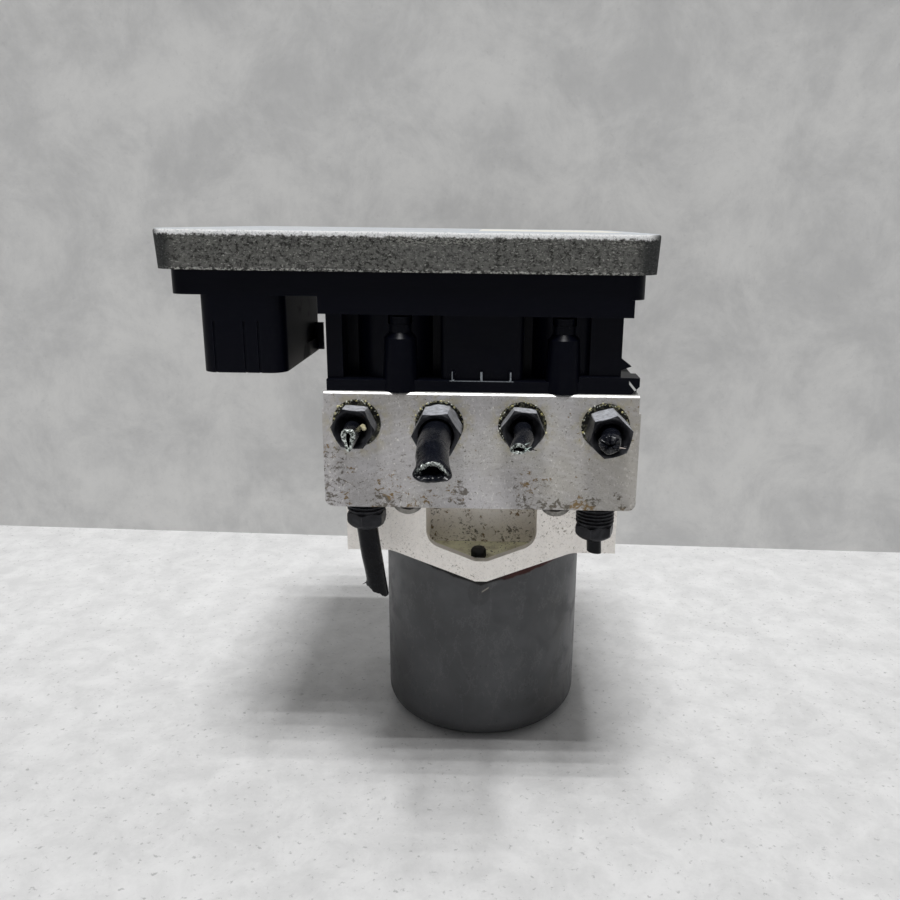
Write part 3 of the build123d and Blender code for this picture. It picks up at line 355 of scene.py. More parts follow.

# %% [markdown]
# ## Die-cast cover
#
# The cover is a heavy aluminium casting with a rough, dark skin. Noise on two scales leaves pale grains on
# it. The grains are harsher just under the rim and along the lowest edge. Towards both ends the skin is
# painted nearly black, as painted shade on the ends. Height in the object's own coordinates tells the sides,
# the rim and the flat top apart.

# %% Cover: rough sides
plate_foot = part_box("cover_plate")[0][2]
plate_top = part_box("cover_plate")[1][2]
COVER_MIDDLE = -21.4 * MM
tree, shader = new_finish("cast_cover", (0.2, 0.2, 0.19), 0.55, 0.55)
here = place_on(tree)
spot = xyz(here)
coarse = grain(place_on(tree, (0.8, 0.8, 1.0)), 780, 6, 0.82)
fine = grain(here, 2600, 5, 0.8)
ridges = grain(place_on(tree, (0.6, 0.6, 1.3)), 1900, 5, 0.8)
side = shade(coarse, 0.42, 0.53, (0.012, 0.012, 0.01), (0.14, 0.14, 0.13))
side = shade(ridges, 0.57, 0.64, side, (0.5, 0.5, 0.46))
side = shade(fine, 0.62, 0.72, side, (0.56, 0.56, 0.53))
worn_zone = effect(blotches, place_on(tree, (1, 1, 0.6)), scale=34.0, low=0.46, high=0.62, warp=0.7)
side = blend_colours(worn_zone, side, (0.2, 0.2, 0.19), 0.2)
under_rim = times(between(spot["Z"], plate_top - 4.2 * MM, plate_top - 2.6 * MM), worn_zone)
harsh = shade(ridges, 0.46, 0.56, (0.008, 0.008, 0.007), (0.34, 0.34, 0.31))
side = blend_colours(under_rim, side, harsh, 0.8)
lowest_edge = between(spot["Z"], plate_foot + 0.9 * MM, plate_foot + 0.5 * MM)
dotted = shade(ridges, 0.48, 0.56, (0.02, 0.02, 0.018), (0.6, 0.6, 0.56))
side = blend_colours(lowest_edge, side, dotted, 0.8)
# Painted shade: the skin goes nearly black, and duller, towards both ends.
from_middle = off(spot["X"], COVER_MIDDLE)
wavering = plus(from_middle, sway(coarse, 6 * MM))
painted_shade_ends = times(between(wavering, 62.5 * MM, 66.5 * MM), 0.85)
end_shade_skin = shade(ridges, 0.55, 0.66, (0.004, 0.006, 0.007), (0.07, 0.08, 0.08))
side = blend_colours(painted_shade_ends, side, end_shade_skin)
print("cover sides:", len(tree.nodes), "nodes")

# %% [markdown]
# ### Top and rim of the cover
#
# The top is smooth and pale, with cooler patches, and carries a cream label. Between top and sides runs a
# rim of bright metal, partly rubbed bare and partly a painted highlight of the lamps on the rounded edge,
# whose lower border is ragged. It stops short of the two ends.

# %% Cover: top, label and rim
LABEL_X, LABEL_Y = 20.5 * MM, -12.5 * MM
top = shade(coarse, 0.4, 0.62, (0.55, 0.58, 0.61), (0.7, 0.72, 0.74))
cool = effect(blotches, here, scale=26.0, low=0.5, high=0.62, warp=0.3)
top = blend_colours(cool, top, (0.5, 0.56, 0.64), 0.5)
across_label = within(spot["X"], LABEL_X, 22.4 * MM, 22.6 * MM)
along_label = within(spot["Y"], LABEL_Y, 32.4 * MM, 32.6 * MM)
top = blend_colours(times(across_label, along_label), top, (0.9, 0.88, 0.8))
on_top = between(spot["Z"], plate_top - 0.3 * MM, plate_top - 0.1 * MM)
# The bright rim is worn bare metal and a painted highlight together.
ragged = plus(spot["Z"], sway(coarse, 3.4 * MM))
rim = between(ragged, plate_top - 1.7 * MM, plate_top - 1.2 * MM)
rim = times(rim, between(from_middle, 70.3 * MM, 66 * MM))
rim_wear_and_highlight = shade(fine, 0.38, 0.5, (0.5, 0.51, 0.52), (1.0, 1.0, 1.0))
wire(shader, base_color=blend_colours(on_top, blend_colours(rim, side, rim_wear_and_highlight), top))
print("cover colours:", len(tree.nodes), "nodes")

# %% Cover: shine and relief
duller = times(painted_shade_ends, 0.4)
wire(shader, roughness=plus(between(fine, 0.3, 0.7, 0.62, 0.4), duller))
plain = larger(larger(rim, on_top), painted_shade_ends)
wire(shader, metallic=between(plain, 0.0, 1.0, 0.5, 0.05))
uneven = plus(coarse, times(plus(fine, ridges), 0.5))
wire(shader, normal=relief(uneven, 0.9, 0.4 * MM))
print("cover:", len(tree.nodes), "nodes")

# %% [markdown]
# ## Moulded housing
#
# Glass-filled plastic comes out of its mould black and slightly satin. Dust settles on it as grey blotches,
# fine scratches catch the light, and corners turn paler where they are rubbed.

# %% Finish: moulded housing
tree, shader = new_finish("black_housing", (0.002, 0.0022, 0.0035), 0.4, gloss=0.09)
here = place_on(tree)
spot = xyz(here)
dust = effect(blotches, here, scale=55.0, low=0.5, high=0.74, warp=0.5)
plastic = blend_colours(dust, (0.0010, 0.0014, 0.0046), (0.0027, 0.0034, 0.0085), 0.3)
across = place_on(tree, (1, 1, 6), turn=(0.2, 0.1, 0.0))
lines = effect(scratches, across, scale=60.0, thin=0.012, amount=0.2)
plastic = blend_colours(lines, plastic, (0.01, 0.011, 0.014))
# A faint film on upward faces: dust and a little painted light.
dust_and_light_film = effect(dust_and_top_light, here, low=0.5, high=0.9, breakup=500.0, amount=0.05)
plastic = blend_colours(dust_and_light_film, plastic, (0.05, 0.053, 0.064))
corners = effect(rubbed, here, width=0.5 * MM, breakup=700.0, amount=0.35)
plastic = blend_colours(corners, plastic, (0.02, 0.023, 0.032))
print("housing plastic:", len(tree.nodes), "nodes")

# %% [markdown]
# ### Painted highlights and a chip on the front of the housing
#
# A pale line runs along the front, low down, with three short ticks that rise from it: a painted highlight
# where the edges of the ribs catch the light. Further right a slanted chip shows pale.

# %% Housing: painted highlight line, ticks and chip
LINE_HEIGHT = 142.65 * MM
line = within(spot["Z"], LINE_HEIGHT, 0.18 * MM, 0.34 * MM)
line = times(within(spot["X"], 0.0, 9.0 * MM, 9.4 * MM), line)
ticks = 0.0
for tick_x in (-8.7, -0.1, 8.5):
    ticks = larger(within(spot["X"], tick_x * MM, 0.3 * MM, 0.42 * MM), ticks)
below_tip = between(spot["Z"], 145.4 * MM, 145.1 * MM)
above_base = between(spot["Z"], 142.3 * MM, 142.5 * MM)
ticks = times(ticks, below_tip, above_base)
near_face = between(spot["Y"], -71.5 * MM, -73.0 * MM)
highlight_breakup = between(grain(here, 1500, 4, 0.7), 0.3, 0.55, 0.35, 0.9)
# Painted highlight on the rib edges, broken up by noise.
rib_highlight = times(larger(line, ticks), near_face, highlight_breakup)
plastic = blend_colours(rib_highlight, plastic, (0.34, 0.37, 0.4))
fall = times(minus(spot["X"], 42.56 * MM), 1.17)
off_chip = plus(minus(spot["Z"], 142.48 * MM), fall)
chip = within(off_chip, 0.0, 0.35 * MM, 0.6 * MM)
chip = times(chip, between(spot["X"], 42.2 * MM, 42.5 * MM))
chip = times(chip, between(spot["Y"], -71.0 * MM, -72.0 * MM))
plastic = blend_colours(chip, plastic, (0.6, 0.61, 0.6))
wire(shader, base_color=plastic)
wire(shader, roughness=between(dust, 0.0, 1.0, 0.34, 0.55))
wire(shader, normal=relief(grain(here, 2600, 2, 0.5), 0.25, 0.05 * MM))
print("housing:", len(tree.nodes), "nodes")

# %% [markdown]
# ## Machined valve block
#
# The block is sawn from an aluminium bar, milled on every face and left bare. Milling leaves arcs, and
# corrosion leaves dark speckles. The V-shaped part behind the front slab is cleaner, and it is painted
# brighter as painted light from the bright floor that it reflects, so most of the masks below depend on how
# far back a point lies.

# %% Block: milled metal
SLAB_ENDS, V_STARTS, FRONT_STARTS = -60 * MM, -44 * MM, -70 * MM
tree, shader = new_finish("machined_block", (0.6, 0.59, 0.56), 0.42, 0.45)
here = place_on(tree)
spot = xyz(here)
behind = between(spot["Y"], SLAB_ENDS, V_STARTS)
on_front = between(spot["Y"], SLAB_ENDS, FRONT_STARTS)
cloudy = grain(here, 42, 5, 0.6, 0.4)
metal = shade(cloudy, 0.3, 0.7, (0.42, 0.405, 0.4), (0.57, 0.555, 0.565))
haze = effect(blotches, place_on(tree, shift=(0.2, 0, 0.1)), scale=30.0, low=0.48, high=0.66, warp=0.3)
metal = blend_colours(haze, metal, (0.62, 0.61, 0.57), 0.4)
tint = effect(blotches, place_on(tree, shift=(0.5, 0.1, 0.2)), scale=22.0, low=0.45, high=0.65, warp=0.5)
metal = blend_colours(tint, metal, (0.52, 0.49, 0.41), 0.35)
# Painted light: the V behind the slab is made nearly white, for the floor's light that it reflects.
metal = blend_colours(behind, metal, (0.99, 0.95, 0.9))
arcs = effect(milling, place_on(tree, shift=(-0.012, 0, -0.02)), scale=210.0, waver=1.5)
arcs_wide = effect(milling, place_on(tree, shift=(0.03, 0, -0.05)), scale=90.0, waver=2.0)
front_share = between(behind, 0.0, 1.0, 1.0, 0.25)
swirl = times(between(times(arcs, arcs_wide), 0.25, 0.8, 0.0, 0.2), front_share)
metal = blend_colours(swirl, metal, (0.74, 0.73, 0.74))
fine = grain(here, 1500, 4, 0.7)
speckle = times(between(fine, 0.57, 0.68), 0.75, front_share)
metal = blend_colours(speckle, metal, (0.22, 0.205, 0.185))
# Painted glints: pale specks that stand for light sparkling on the milled face.
glint = between(grain(place_on(tree, (1, 1, 0.6), (0.2, 0, 0)), 1500, 4, 0.75), 0.58, 0.68)
metal = blend_colours(glint, metal, (0.88, 0.86, 0.82), 0.7)
duller = between(spot["X"], 20 * MM, 44 * MM, 0.0, 0.25)
metal = blend_colours(times(duller, minus(1.0, behind)), metal, (0.36, 0.33, 0.28))
print("milled metal:", len(tree.nodes), "nodes")

# %% [markdown]
# ### Where corrosion gathers
#
# Dark marks crowd low on the front slab, in its left corner and inside the pocket over the V. The faces of
# the V stay almost free of them. One value, the crowd, adds those places up and shifts the threshold of the
# marks.

# %% Block: places of the marks
low_zone = between(spot["Z"], 121 * MM, 105 * MM)
pocket_front = between(spot["Y"], -30 * MM, -21.5 * MM)
pocket_back = between(spot["Y"], -10 * MM, -15 * MM)
pocket_zone = times(pocket_front, pocket_back, within(spot["X"], 0.0, 20 * MM, 23 * MM))
v_faces = minus(behind, pocket_zone)
clouds = between(grain(here, 75, 4, 0.6), 0.42, 0.62)
clumps = between(grain(place_on(tree, shift=(0.1, 0, 0)), 120, 3, 0.5), 0.45, 0.6)
crowd = larger(times(low_zone, clouds), times(pocket_zone, clumps))
slab_share = between(spot["Y"], SLAB_ENDS, -50 * MM, 0.3, 0.0)
crowd = minus(plus(crowd, times(clouds, slab_share)), v_faces)
corner = times(between(spot["X"], -33 * MM, -41 * MM), between(spot["Z"], 127 * MM, 121 * MM))
crowd = larger(crowd, times(corner, on_front, 0.85))
print("places:", len(tree.nodes), "nodes")

# %% Block: marks, salt and streaks
crumbly = grain(place_on(tree, (1, 1, 1.3)), 560, 7, 0.74, 0.4)
marks = between(plus(crumbly, times(crowd, 0.13)), 0.635, 0.685)
salt = between(grain(place_on(tree, shift=(0, 0.3, 0)), 1050, 5, 0.7), 0.56, 0.64)
salt = times(salt, low_zone, between(clouds, 0.0, 1.0, 0.15, 0.75))
streak = between(grain(place_on(tree, (1, 1, 0.12)), 380, 4, 0.6), 0.45, 0.7)
metal = blend_colours(times(streak, v_faces), metal, (0.6, 0.57, 0.55), 0.1)
metal = blend_colours(salt, metal, (0.15, 0.115, 0.07))
tiny_pits = effect(pits, here, scale=2600.0, size=0.4, clouds=70.0, amount=0.8)
metal = blend_colours(tiny_pits, metal, (0.16, 0.14, 0.115), 0.4)
metal = blend_colours(marks, metal, (0.085, 0.068, 0.042), 0.8)
rusty = times(marks, 0.9, between(grain(here, 130, 3, 0.5), 0.5, 0.56))
metal = blend_colours(rusty, metal, (0.26, 0.17, 0.07))
print("marks:", len(tree.nodes), "nodes")

# %% [markdown]
# ### Ports and bores
#
# Oil and soil stain a ring round each front nut. The counterbore that the nut sits in is painted nearly
# black, as painted shade in the gap round the nut, flecked with pale residue.
# The two bores in the front of the V are dark inside.

# %% Block: ports and bores
PORTS = (-36, -12, 12, 36)
PORT_HEIGHT = 130 * MM
BORE_HEIGHT = 96.2 * MM
ring, well_shade = 0.0, 0.0
for port_x, stain in zip(PORTS, (11.8, 12.0, 10.8, 11.8)):
    gap = off_axis(tree, port_x * MM, PORT_HEIGHT)
    ring = larger(between(gap, stain * MM, 7.2 * MM), ring)
    well_shade = larger(between(gap, 7.15 * MM, 6.9 * MM), well_shade)
soil = times(ring, on_front, between(grain(here, 420, 5, 0.7), 0.44, 0.6))
metal = blend_colours(soil, metal, (0.46, 0.41, 0.25), 0.55)
flaky = grain(here, 560, 5, 0.7)
well_shade_skin = shade(flaky, 0.48, 0.66, (0.018, 0.018, 0.015), (0.3, 0.29, 0.2))
# Painted shade in each counterbore, with pale flecks of residue.
metal = blend_colours(times(well_shade, on_front), metal, well_shade_skin)
bores = 0.0
for bore_x in (-25.1, 25.1):
    gap = off_axis(tree, bore_x * MM, BORE_HEIGHT)
    bores = larger(between(gap, 6.1 * MM, 5.9 * MM), bores)
mouth = between(spot["Y"], -41.1 * MM, -41.0 * MM)
inner = times(mouth, between(spot["Y"], -25.0 * MM, -26.5 * MM))
metal = blend_colours(times(bores, inner, behind), metal, (0.03, 0.026, 0.02))
# Dust on upward faces, nearly white: partly painted light on the top edges.
dust_and_light_film = effect(dust_and_top_light, here, low=0.3, high=0.7, breakup=500.0, amount=0.8)
metal = blend_colours(dust_and_light_film, metal, (0.84, 0.84, 0.82))
wire(shader, base_color=metal)
print("ports and bores:", len(tree.nodes), "nodes")

# %% Block: shine and relief
shine = between(spot["Y"], SLAB_ENDS, V_STARTS, 0.42, 0.66)
wire(shader, metallic=minus(shine, times(pocket_zone, 0.4)))
wire(shader, roughness=between(grain(here, 700, 4, 0.6), 0.3, 0.7, 0.36, 0.58))
depths = times(plus(times(arcs, 0.4), fine), 0.5)
depths = minus(depths, times(plus(tiny_pits, marks), 0.5))
wire(shader, normal=relief(depths, 0.4, 0.12 * MM))
print("block:", len(tree.nodes), "nodes")

# %% [markdown]
# ## Zinc-plated motor can
#
# The can is deep-drawn steel under dull zinc. Zinc greys unevenly in use, so the colour is blotched on two
# scales, with faint vertical rubs and a few darker spots. Roughness follows the blotches, which gives the
# soft mottled sheen of old plating.

# %% Finish: zinc-plated can
tree, shader = new_finish("zinc_can", (0.16, 0.165, 0.17), 0.5, 0.55)
here = place_on(tree)
spot = xyz(here)
wide = effect(blotches, here, scale=26.0, low=0.3, high=0.7, warp=0.8)
small = effect(blotches, here, scale=120.0, low=0.4, high=0.68, warp=0.5)
plated = blend_colours(wide, (0.062, 0.063, 0.066), (0.092, 0.094, 0.099))
plated = blend_colours(small, plated, (0.125, 0.128, 0.134), 0.3)
warm = effect(blotches, place_on(tree, shift=(0.3, 0.2, 0)), scale=18.0, low=0.5, high=0.7, warp=0.6)
plated = blend_colours(warm, plated, (0.085, 0.078, 0.066), 0.3)
upright = place_on(tree, (1, 1, 0.5), turn=(0, 0.5, 0))
rubs = effect(scratches, upright, scale=45.0, thin=0.01, amount=0.25)
plated = blend_colours(rubs, plated, (0.2, 0.2, 0.205))
dots = effect(pits, here, scale=520.0, size=0.32, clouds=26.0, amount=0.6)
plated = blend_colours(dots, plated, (0.035, 0.034, 0.032), 0.4)
print("zinc:", len(tree.nodes), "nodes")

# %% [markdown]
# ### Stains and painted shade on the can
#
# A dark oval patch shows on the front of the can, with a pale nick above it. Along the lower edge of the V
# the can is painted darker along a curve, as shade in the gap under the V. On the right the line is reddish,
# where the red seal shows.

# %% Can: patch, painted seam shade and nick
front_only = between(spot["Y"], -25 * MM, -27 * MM)
patch = between(off_axis(tree, -0.6 * MM, 50.8 * MM, 0.85), 4.4 * MM, 3.6 * MM)
plated = blend_colours(times(patch, front_only), plated, (0.03, 0.03, 0.031), 0.28)
# Painted shade along the gap under the V; reddish on the right, where the seal shows.
aside = off(spot["X"])
rise = times(aside, 0.362)
sag = times(calculate("POWER", aside, 2.0), 4.15)
above = minus(minus(spot["Z"], minus(rise, sag)), 62.2 * MM)
right_side = between(spot["X"], 4 * MM, 12 * MM)
above = plus(above, times(right_side, 0.7 * MM))
ragged = plus(above, sway(small, 0.8 * MM))
seam_shade = times(between(ragged, -0.3 * MM, 0.5 * MM), front_only)
seam_shade_colour = blend_colours(right_side, (0.01, 0.009, 0.009), (0.045, 0.012, 0.01))
plated = blend_colours(seam_shade, plated, seam_shade_colour)
slanted = minus(spot["Z"], times(spot["X"], 0.7))
nick = within(slanted, 60.0 * MM, 0.2 * MM, 0.4 * MM)
nick = times(nick, within(spot["X"], 1.6 * MM, 0.9 * MM, 1.5 * MM), front_only)
plated = blend_colours(nick, plated, (0.3, 0.28, 0.24), 0.8)
wire(shader, base_color=plated)
wire(shader, roughness=between(small, 0.0, 1.0, 0.42, 0.6))
wire(shader, normal=relief(grain(here, 520, 5, 0.65), 0.25, 0.12 * MM))
print("can:", len(tree.nodes), "nodes")

# %% [markdown]
# ## Black nuts and pipes
#
# Brake fittings are steel with a black zinc coat, tarnished in patches, with rust beginning in places and
# corners worn to grey. A pale film lies on those flats of the front nuts that look up: partly dust and partly
# painted light from the lamps above. The pipes have a thicker, plainer coat.

# %% Finish: black nuts
tree, shader = new_finish("black_nut", (0.03, 0.03, 0.032), 0.4, 0.3, gloss=0.25)
here = place_on(tree)
tarnish = effect(blotches, here, scale=240.0, low=0.4, high=0.68, warp=0.6)
coat = blend_colours(tarnish, (0.011, 0.011, 0.014), (0.034, 0.035, 0.04))
rust = effect(blotches, place_on(tree, shift=(0.4, 0.1, 0.7)), scale=150.0, low=0.62, high=0.74, warp=1.0)
coat = blend_colours(rust, coat, (0.08, 0.048, 0.025), 0.4)
on_flats = within(xyz(facing(tree))["Y"], 0.0, 0.12, 0.3)
front_row = between(xyz(here)["Z"], 118 * MM, 121 * MM)
dust_and_light_film = effect(dust_and_top_light, here, low=0.2, high=0.9, breakup=700.0, amount=0.95)
turned_lines = grain(place_on(tree, (1, 5, 1)), 1500, 3, 0.6)
dust_and_light_skin = shade(turned_lines, 0.35, 0.65, (0.62, 0.64, 0.7), (0.84, 0.86, 0.92))
# Dust and painted light: the upward flats of the front nuts turn pale.
coat = blend_colours(times(on_flats, front_row, dust_and_light_film), coat, dust_and_light_skin)
corners = effect(rubbed, here, width=0.5 * MM, breakup=1100.0, amount=0.5)
coat = blend_colours(corners, coat, (0.15, 0.155, 0.17))
wire(shader, base_color=coat)
wire(shader, roughness=between(tarnish, 0.0, 1.0, 0.34, 0.55))
wire(shader, normal=relief(grain(here, 900, 4, 0.6), 0.3, 0.1 * MM))
print("nuts:", len(tree.nodes), "nodes")

# %% Finish: black pipes


def pipe_coat(tree, here, dark, light, dust_and_light_amount, dust_and_light_colour):
    """Black coat with worn patches and a little dust that also lightens upward faces as painted light. Gives
    the patches and the colour.
    """
    worn = effect(blotches, here, scale=300.0, low=0.5, high=0.7, warp=0.5)
    dust_and_light_film = effect(dust_and_top_light, here, low=0.35, high=0.95, breakup=900.0, amount=dust_and_light_amount)
    return worn, blend_colours(dust_and_light_film, blend_colours(worn, dark, light, 0.4), dust_and_light_colour)


tree, shader = new_finish("black_pipe", (0.004, 0.004, 0.005), 0.34, gloss=0.16)
here = place_on(tree)
worn, coat = pipe_coat(tree, here, (0.002, 0.0024, 0.0042), (0.007, 0.008, 0.012), 0.06, (0.1, 0.11, 0.14))
wire(shader, base_color=coat)
wire(shader, roughness=between(worn, 0.0, 1.0, 0.26, 0.5))
wire(shader, normal=relief(grain(here, 800, 4, 0.6), 0.3, 0.1 * MM))
print("pipes:", len(tree.nodes), "nodes")

# %% [markdown]
# ### Torn tube ends
#
# The brake pipes were cut with pliers, so each stub ends in a crushed mouth where bare steel shows. The
# mesh carries a number called bare at every vertex, and this finish turns it, broken up by noise, into
# bright metal.

# %% Finish: torn pipes
tree, shader = new_finish("torn_pipe", (0.004, 0.004, 0.005), 0.34, gloss=0.3)
here = place_on(tree)
worn, coat = pipe_coat(tree, here, (0.003, 0.0036, 0.0065), (0.008, 0.009, 0.014), 0.03, (0.12, 0.14, 0.2))
along = place_on(tree, (1, 0.3, 1), turn=(0, 0, 0.4))
rubs = effect(scratches, along, scale=160.0, thin=0.014, amount=0.12)
coat = blend_colours(rubs, coat, (0.12, 0.125, 0.14))
bareness = lay(tree, "ShaderNodeAttribute", attribute_name="bare").outputs["Fac"]
broken_up = plus(bareness, sway(grain(here, 1300, 4, 0.7), 1.1))
steel_shows = between(broken_up, 0.42, 0.58)
streaky = grain(here, 1500, 4, 0.7)
steel_skin = shade(streaky, 0.42, 0.58, (0.05, 0.058, 0.052), (0.8, 0.86, 0.82))
wire(shader, base_color=blend_colours(steel_shows, coat, steel_skin))
wire(shader, metallic=between(steel_shows, 0.0, 1.0, 0.0, 0.45))
wire(shader, roughness=between(worn, 0.0, 1.0, 0.24, 0.42))
wire(shader, normal=relief(grain(here, 900, 5, 0.7), 0.4, 0.18 * MM))
print("torn pipes:", len(tree.nodes), "nodes")

# %% [markdown]
# ## Yellow zinc end plate
#
# The plate that closes the motor shows only in the pocket over the V. Its yellow zinc has gone pale and
# stained, so the colour wanders between straw and grey.

# %% Finish: yellow zinc
tree, shader = new_finish("yellow_zinc", (0.5, 0.46, 0.34), 0.45, 0.3)
here = place_on(tree)
stain = effect(blotches, here, scale=110.0, low=0.4, high=0.66, warp=0.8)
plate = blend_colours(stain, (0.95, 0.96, 0.72), (0.62, 0.6, 0.45))
specks = effect(pits, here, scale=800.0, size=0.4, clouds=60.0, amount=0.9)
wire(shader, base_color=blend_colours(specks, plate, (0.07, 0.06, 0.045)))
wire(shader, roughness=between(stain, 0.0, 1.0, 0.38, 0.6))
wire(shader, normal=relief(grain(here, 900, 4, 0.6), 0.25, 0.1 * MM))
print("end plate:", len(tree.nodes), "nodes")

# %% [markdown]
# ## Inner metals, rubbers and plastics
#
# The pieces inside differ mostly in colour and shine. One function makes the metals, with turning marks
# across the axis, and another the rubbers and plastics, with a faint mottle. Each call gives its own pair
# of colours.

# %% Finishes of the inner pieces


def inner_metal(name, dark, light, shine, line_scale):
    """Turned or wound metal with fine rings round the vertical axis."""
    tree, shader = new_finish(name, light, shine, 0.85)
    mottle = grain(place_on(tree), 180, 4, 0.6)
    rings = grain(place_on(tree, (0.02, 0.02, 1)), line_scale, 3)
    wire(shader, base_color=shade(mottle, 0.35, 0.65, dark, light))
    wire(shader, roughness=between(mottle, 0.3, 0.7, shine - 0.06, shine + 0.08))
    wire(shader, normal=relief(rings, 0.25, 0.1 * MM))


def inner_soft(name, dark, light, roughness):
    """Rubber, plastic or pressed powder."""
    tree, shader = new_finish(name, light, roughness)
    here = place_on(tree)
    mottle = grain(here, 300, 5, 0.65)
    wire(shader, base_color=shade(mottle, 0.35, 0.65, dark, light))
    wire(shader, roughness=between(mottle, 0.3, 0.7, roughness - 0.06, roughness + 0.06))
    wire(shader, normal=relief(grain(here, 1800, 3), 0.3, 0.06 * MM))


inner_metal("steel", (0.32, 0.32, 0.33), (0.5, 0.5, 0.51), 0.3, 2400)
inner_metal("bronze", (0.32, 0.2, 0.09), (0.5, 0.33, 0.16), 0.42, 900)
inner_metal("lamination", (0.12, 0.12, 0.13), (0.26, 0.26, 0.27), 0.45, 5000)
inner_metal("turned_aluminium", (0.48, 0.48, 0.49), (0.66, 0.66, 0.67), 0.32, 2600)
inner_metal("tin_pins", (0.45, 0.44, 0.42), (0.66, 0.65, 0.62), 0.3, 1200)
inner_metal("copper", (0.35, 0.14, 0.06), (0.6, 0.27, 0.13), 0.35, 4200)
inner_soft("ferrite", (0.035, 0.036, 0.04), (0.07, 0.072, 0.08), 0.6)
inner_soft("carbon", (0.015, 0.015, 0.016), (0.04, 0.04, 0.042), 0.62)
inner_soft("brown_plastic", (0.09, 0.045, 0.02), (0.16, 0.085, 0.045), 0.5)
inner_soft("black_rubber", (0.008, 0.008, 0.009), (0.022, 0.022, 0.023), 0.62)
inner_soft("red_seal", (0.07, 0.022, 0.014), (0.17, 0.06, 0.035), 0.6)
inner_soft("grey_bead", (0.05, 0.05, 0.052), (0.1, 0.1, 0.104), 0.55)
inner_soft("bare_shred", (0.16, 0.2, 0.19), (0.56, 0.66, 0.62), 0.4)
inner_soft("pale_shred", (0.2, 0.17, 0.15), (0.46, 0.4, 0.37), 0.5)
inner_soft("brass_fleck", (0.6, 0.54, 0.3), (0.86, 0.82, 0.62), 0.45)
inner_soft("pale_crumb", (0.56, 0.58, 0.5), (0.86, 0.88, 0.8), 0.6)
inner_soft("yellow_crumb", (0.42, 0.38, 0.16), (0.72, 0.68, 0.42), 0.6)
inner_soft("grimy_cap", (0.055, 0.048, 0.038), (0.13, 0.115, 0.095), 0.5)
inner_soft("board_green", (0.012, 0.06, 0.028), (0.02, 0.1, 0.045), 0.4)
inner_soft("chip_black", (0.01, 0.01, 0.011), (0.02, 0.02, 0.022), 0.45)
print("finishes:", len(finishes))

# %% [markdown]
# ## Giving the solids their finishes
#
# The record that comes with the solids names a material slot for each of them, and the finishes above carry
# the same names, so a short loop dresses all the solids. The screw heads and the two caps in the V have
# darkened in use.

# %% Dress the solids


def dress(piece, finish):
    """Puts one material on a piece."""
    piece.data.materials.clear()
    piece.data.materials.append(finish)


for part in frame["record"]["subparts"]:
    dress(frame["nodes"][part["node"]], finishes[part["material_slot"]])
dress(frame["nodes"]["housing_screws"], finishes["black_housing"])
for cap in ("accumulator_cap_left", "accumulator_cap_right"):
    dress(frame["nodes"][cap], finishes["grimy_cap"])

# %% [markdown]
# ## Tube nuts
#
# A tube nut is turned from hexagon bar: the lathe chamfers the corners, cuts the thread and opens a funnel
# for the pipe. The mesh is made in the other order, which is easier. An outline is spun into a turned part,
# and then every vertex that lies outside the six flats is moved in onto them. The chamfers meet the flats
# in the same curves as on the real nut.

# %% Turning and milling
BLOCK_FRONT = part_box("valve_block")[0][1]
SLAB_FOOT = 104.5 * MM
INLET_ACROSS, INLET_DEPTH = 36, -60.4 * MM


def spun(degrees, axis="Z"):
    """A turn about one axis."""
    return Matrix.Rotation(math.radians(degrees), 4, axis)


def at_port(across):
    """Sets a shape down on the front of the block, with its Z axis along a port."""
    return Matrix.Translation((across * MM, BLOCK_FRONT, PORT_HEIGHT)) @ spun(90, "X")


def at_inlet(side):
    """Sets a shape down under the slab's foot, with its Z axis downward."""
    return Matrix.Translation((side * INLET_ACROSS * MM, INLET_DEPTH, SLAB_FOOT)) @ spun(180, "X")


def turned(outline, steps=72):
    """Spins a closed outline of (radius, height) corners in millimetres round the Z axis."""
    shape = bmesh.new()
    corners = [shape.verts.new((radius * MM, 0, height * MM)) for radius, height in outline]
    for first, second in zip(corners, corners[1:] + corners[:1]):
        shape.edges.new((first, second))
    profile = shape.verts[:] + shape.edges[:]
    bmesh.ops.spin(shape, geom=profile, axis=(0, 0, 1), angle=math.tau, steps=steps, use_merge=True)
    bmesh.ops.remove_doubles(shape, verts=shape.verts, dist=1e-6)
    bmesh.ops.recalc_face_normals(shape, faces=shape.faces)
    return shape


def mill_hexagon(shape, corner_radius, low, high):
    """Moves what lies outside six flats in onto them, between two heights in millimetres."""
    half_width = corner_radius * MM * math.cos(math.radians(30))
    for vert in shape.verts:
        reach = math.hypot(vert.co.x, vert.co.y)
        if reach < half_width or not low * MM - 1e-6 < vert.co.z < high * MM + 1e-6:
            continue
        off_flat = (math.degrees(math.atan2(vert.co.y, vert.co.x)) % 60) - 30
        limit = half_width / math.cos(math.radians(off_flat))
        if reach > limit:
            vert.co.x *= limit / reach
            vert.co.y *= limit / reach


def settle(name, shape, finish, place=None, stands_for=(), sharp=32):
    """Turns a finished shape into a piece of the module."""
    if place is not None:
        bmesh.ops.transform(shape, matrix=place, verts=shape.verts)
    mesh = bpy.data.meshes.new(name)
    shape.to_mesh(mesh)
    shape.free()
    mesh.shade_smooth()
    mesh.set_sharp_from_angle(angle=math.radians(sharp))
    piece = bpy.data.objects.new(name, mesh)
    bpy.context.collection.objects.link(piece)
    dress(piece, finish)
    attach(piece, "module")
    if stands_for:
        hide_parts(*stands_for)
    return piece


# %% [markdown]
# ### Four nuts on the front
#
# Each nut screws into its port until only the hexagon stands proud, and no two stand out equally far or are
# turned alike. The wide mouth is a soft funnel that nearly reaches the flats.

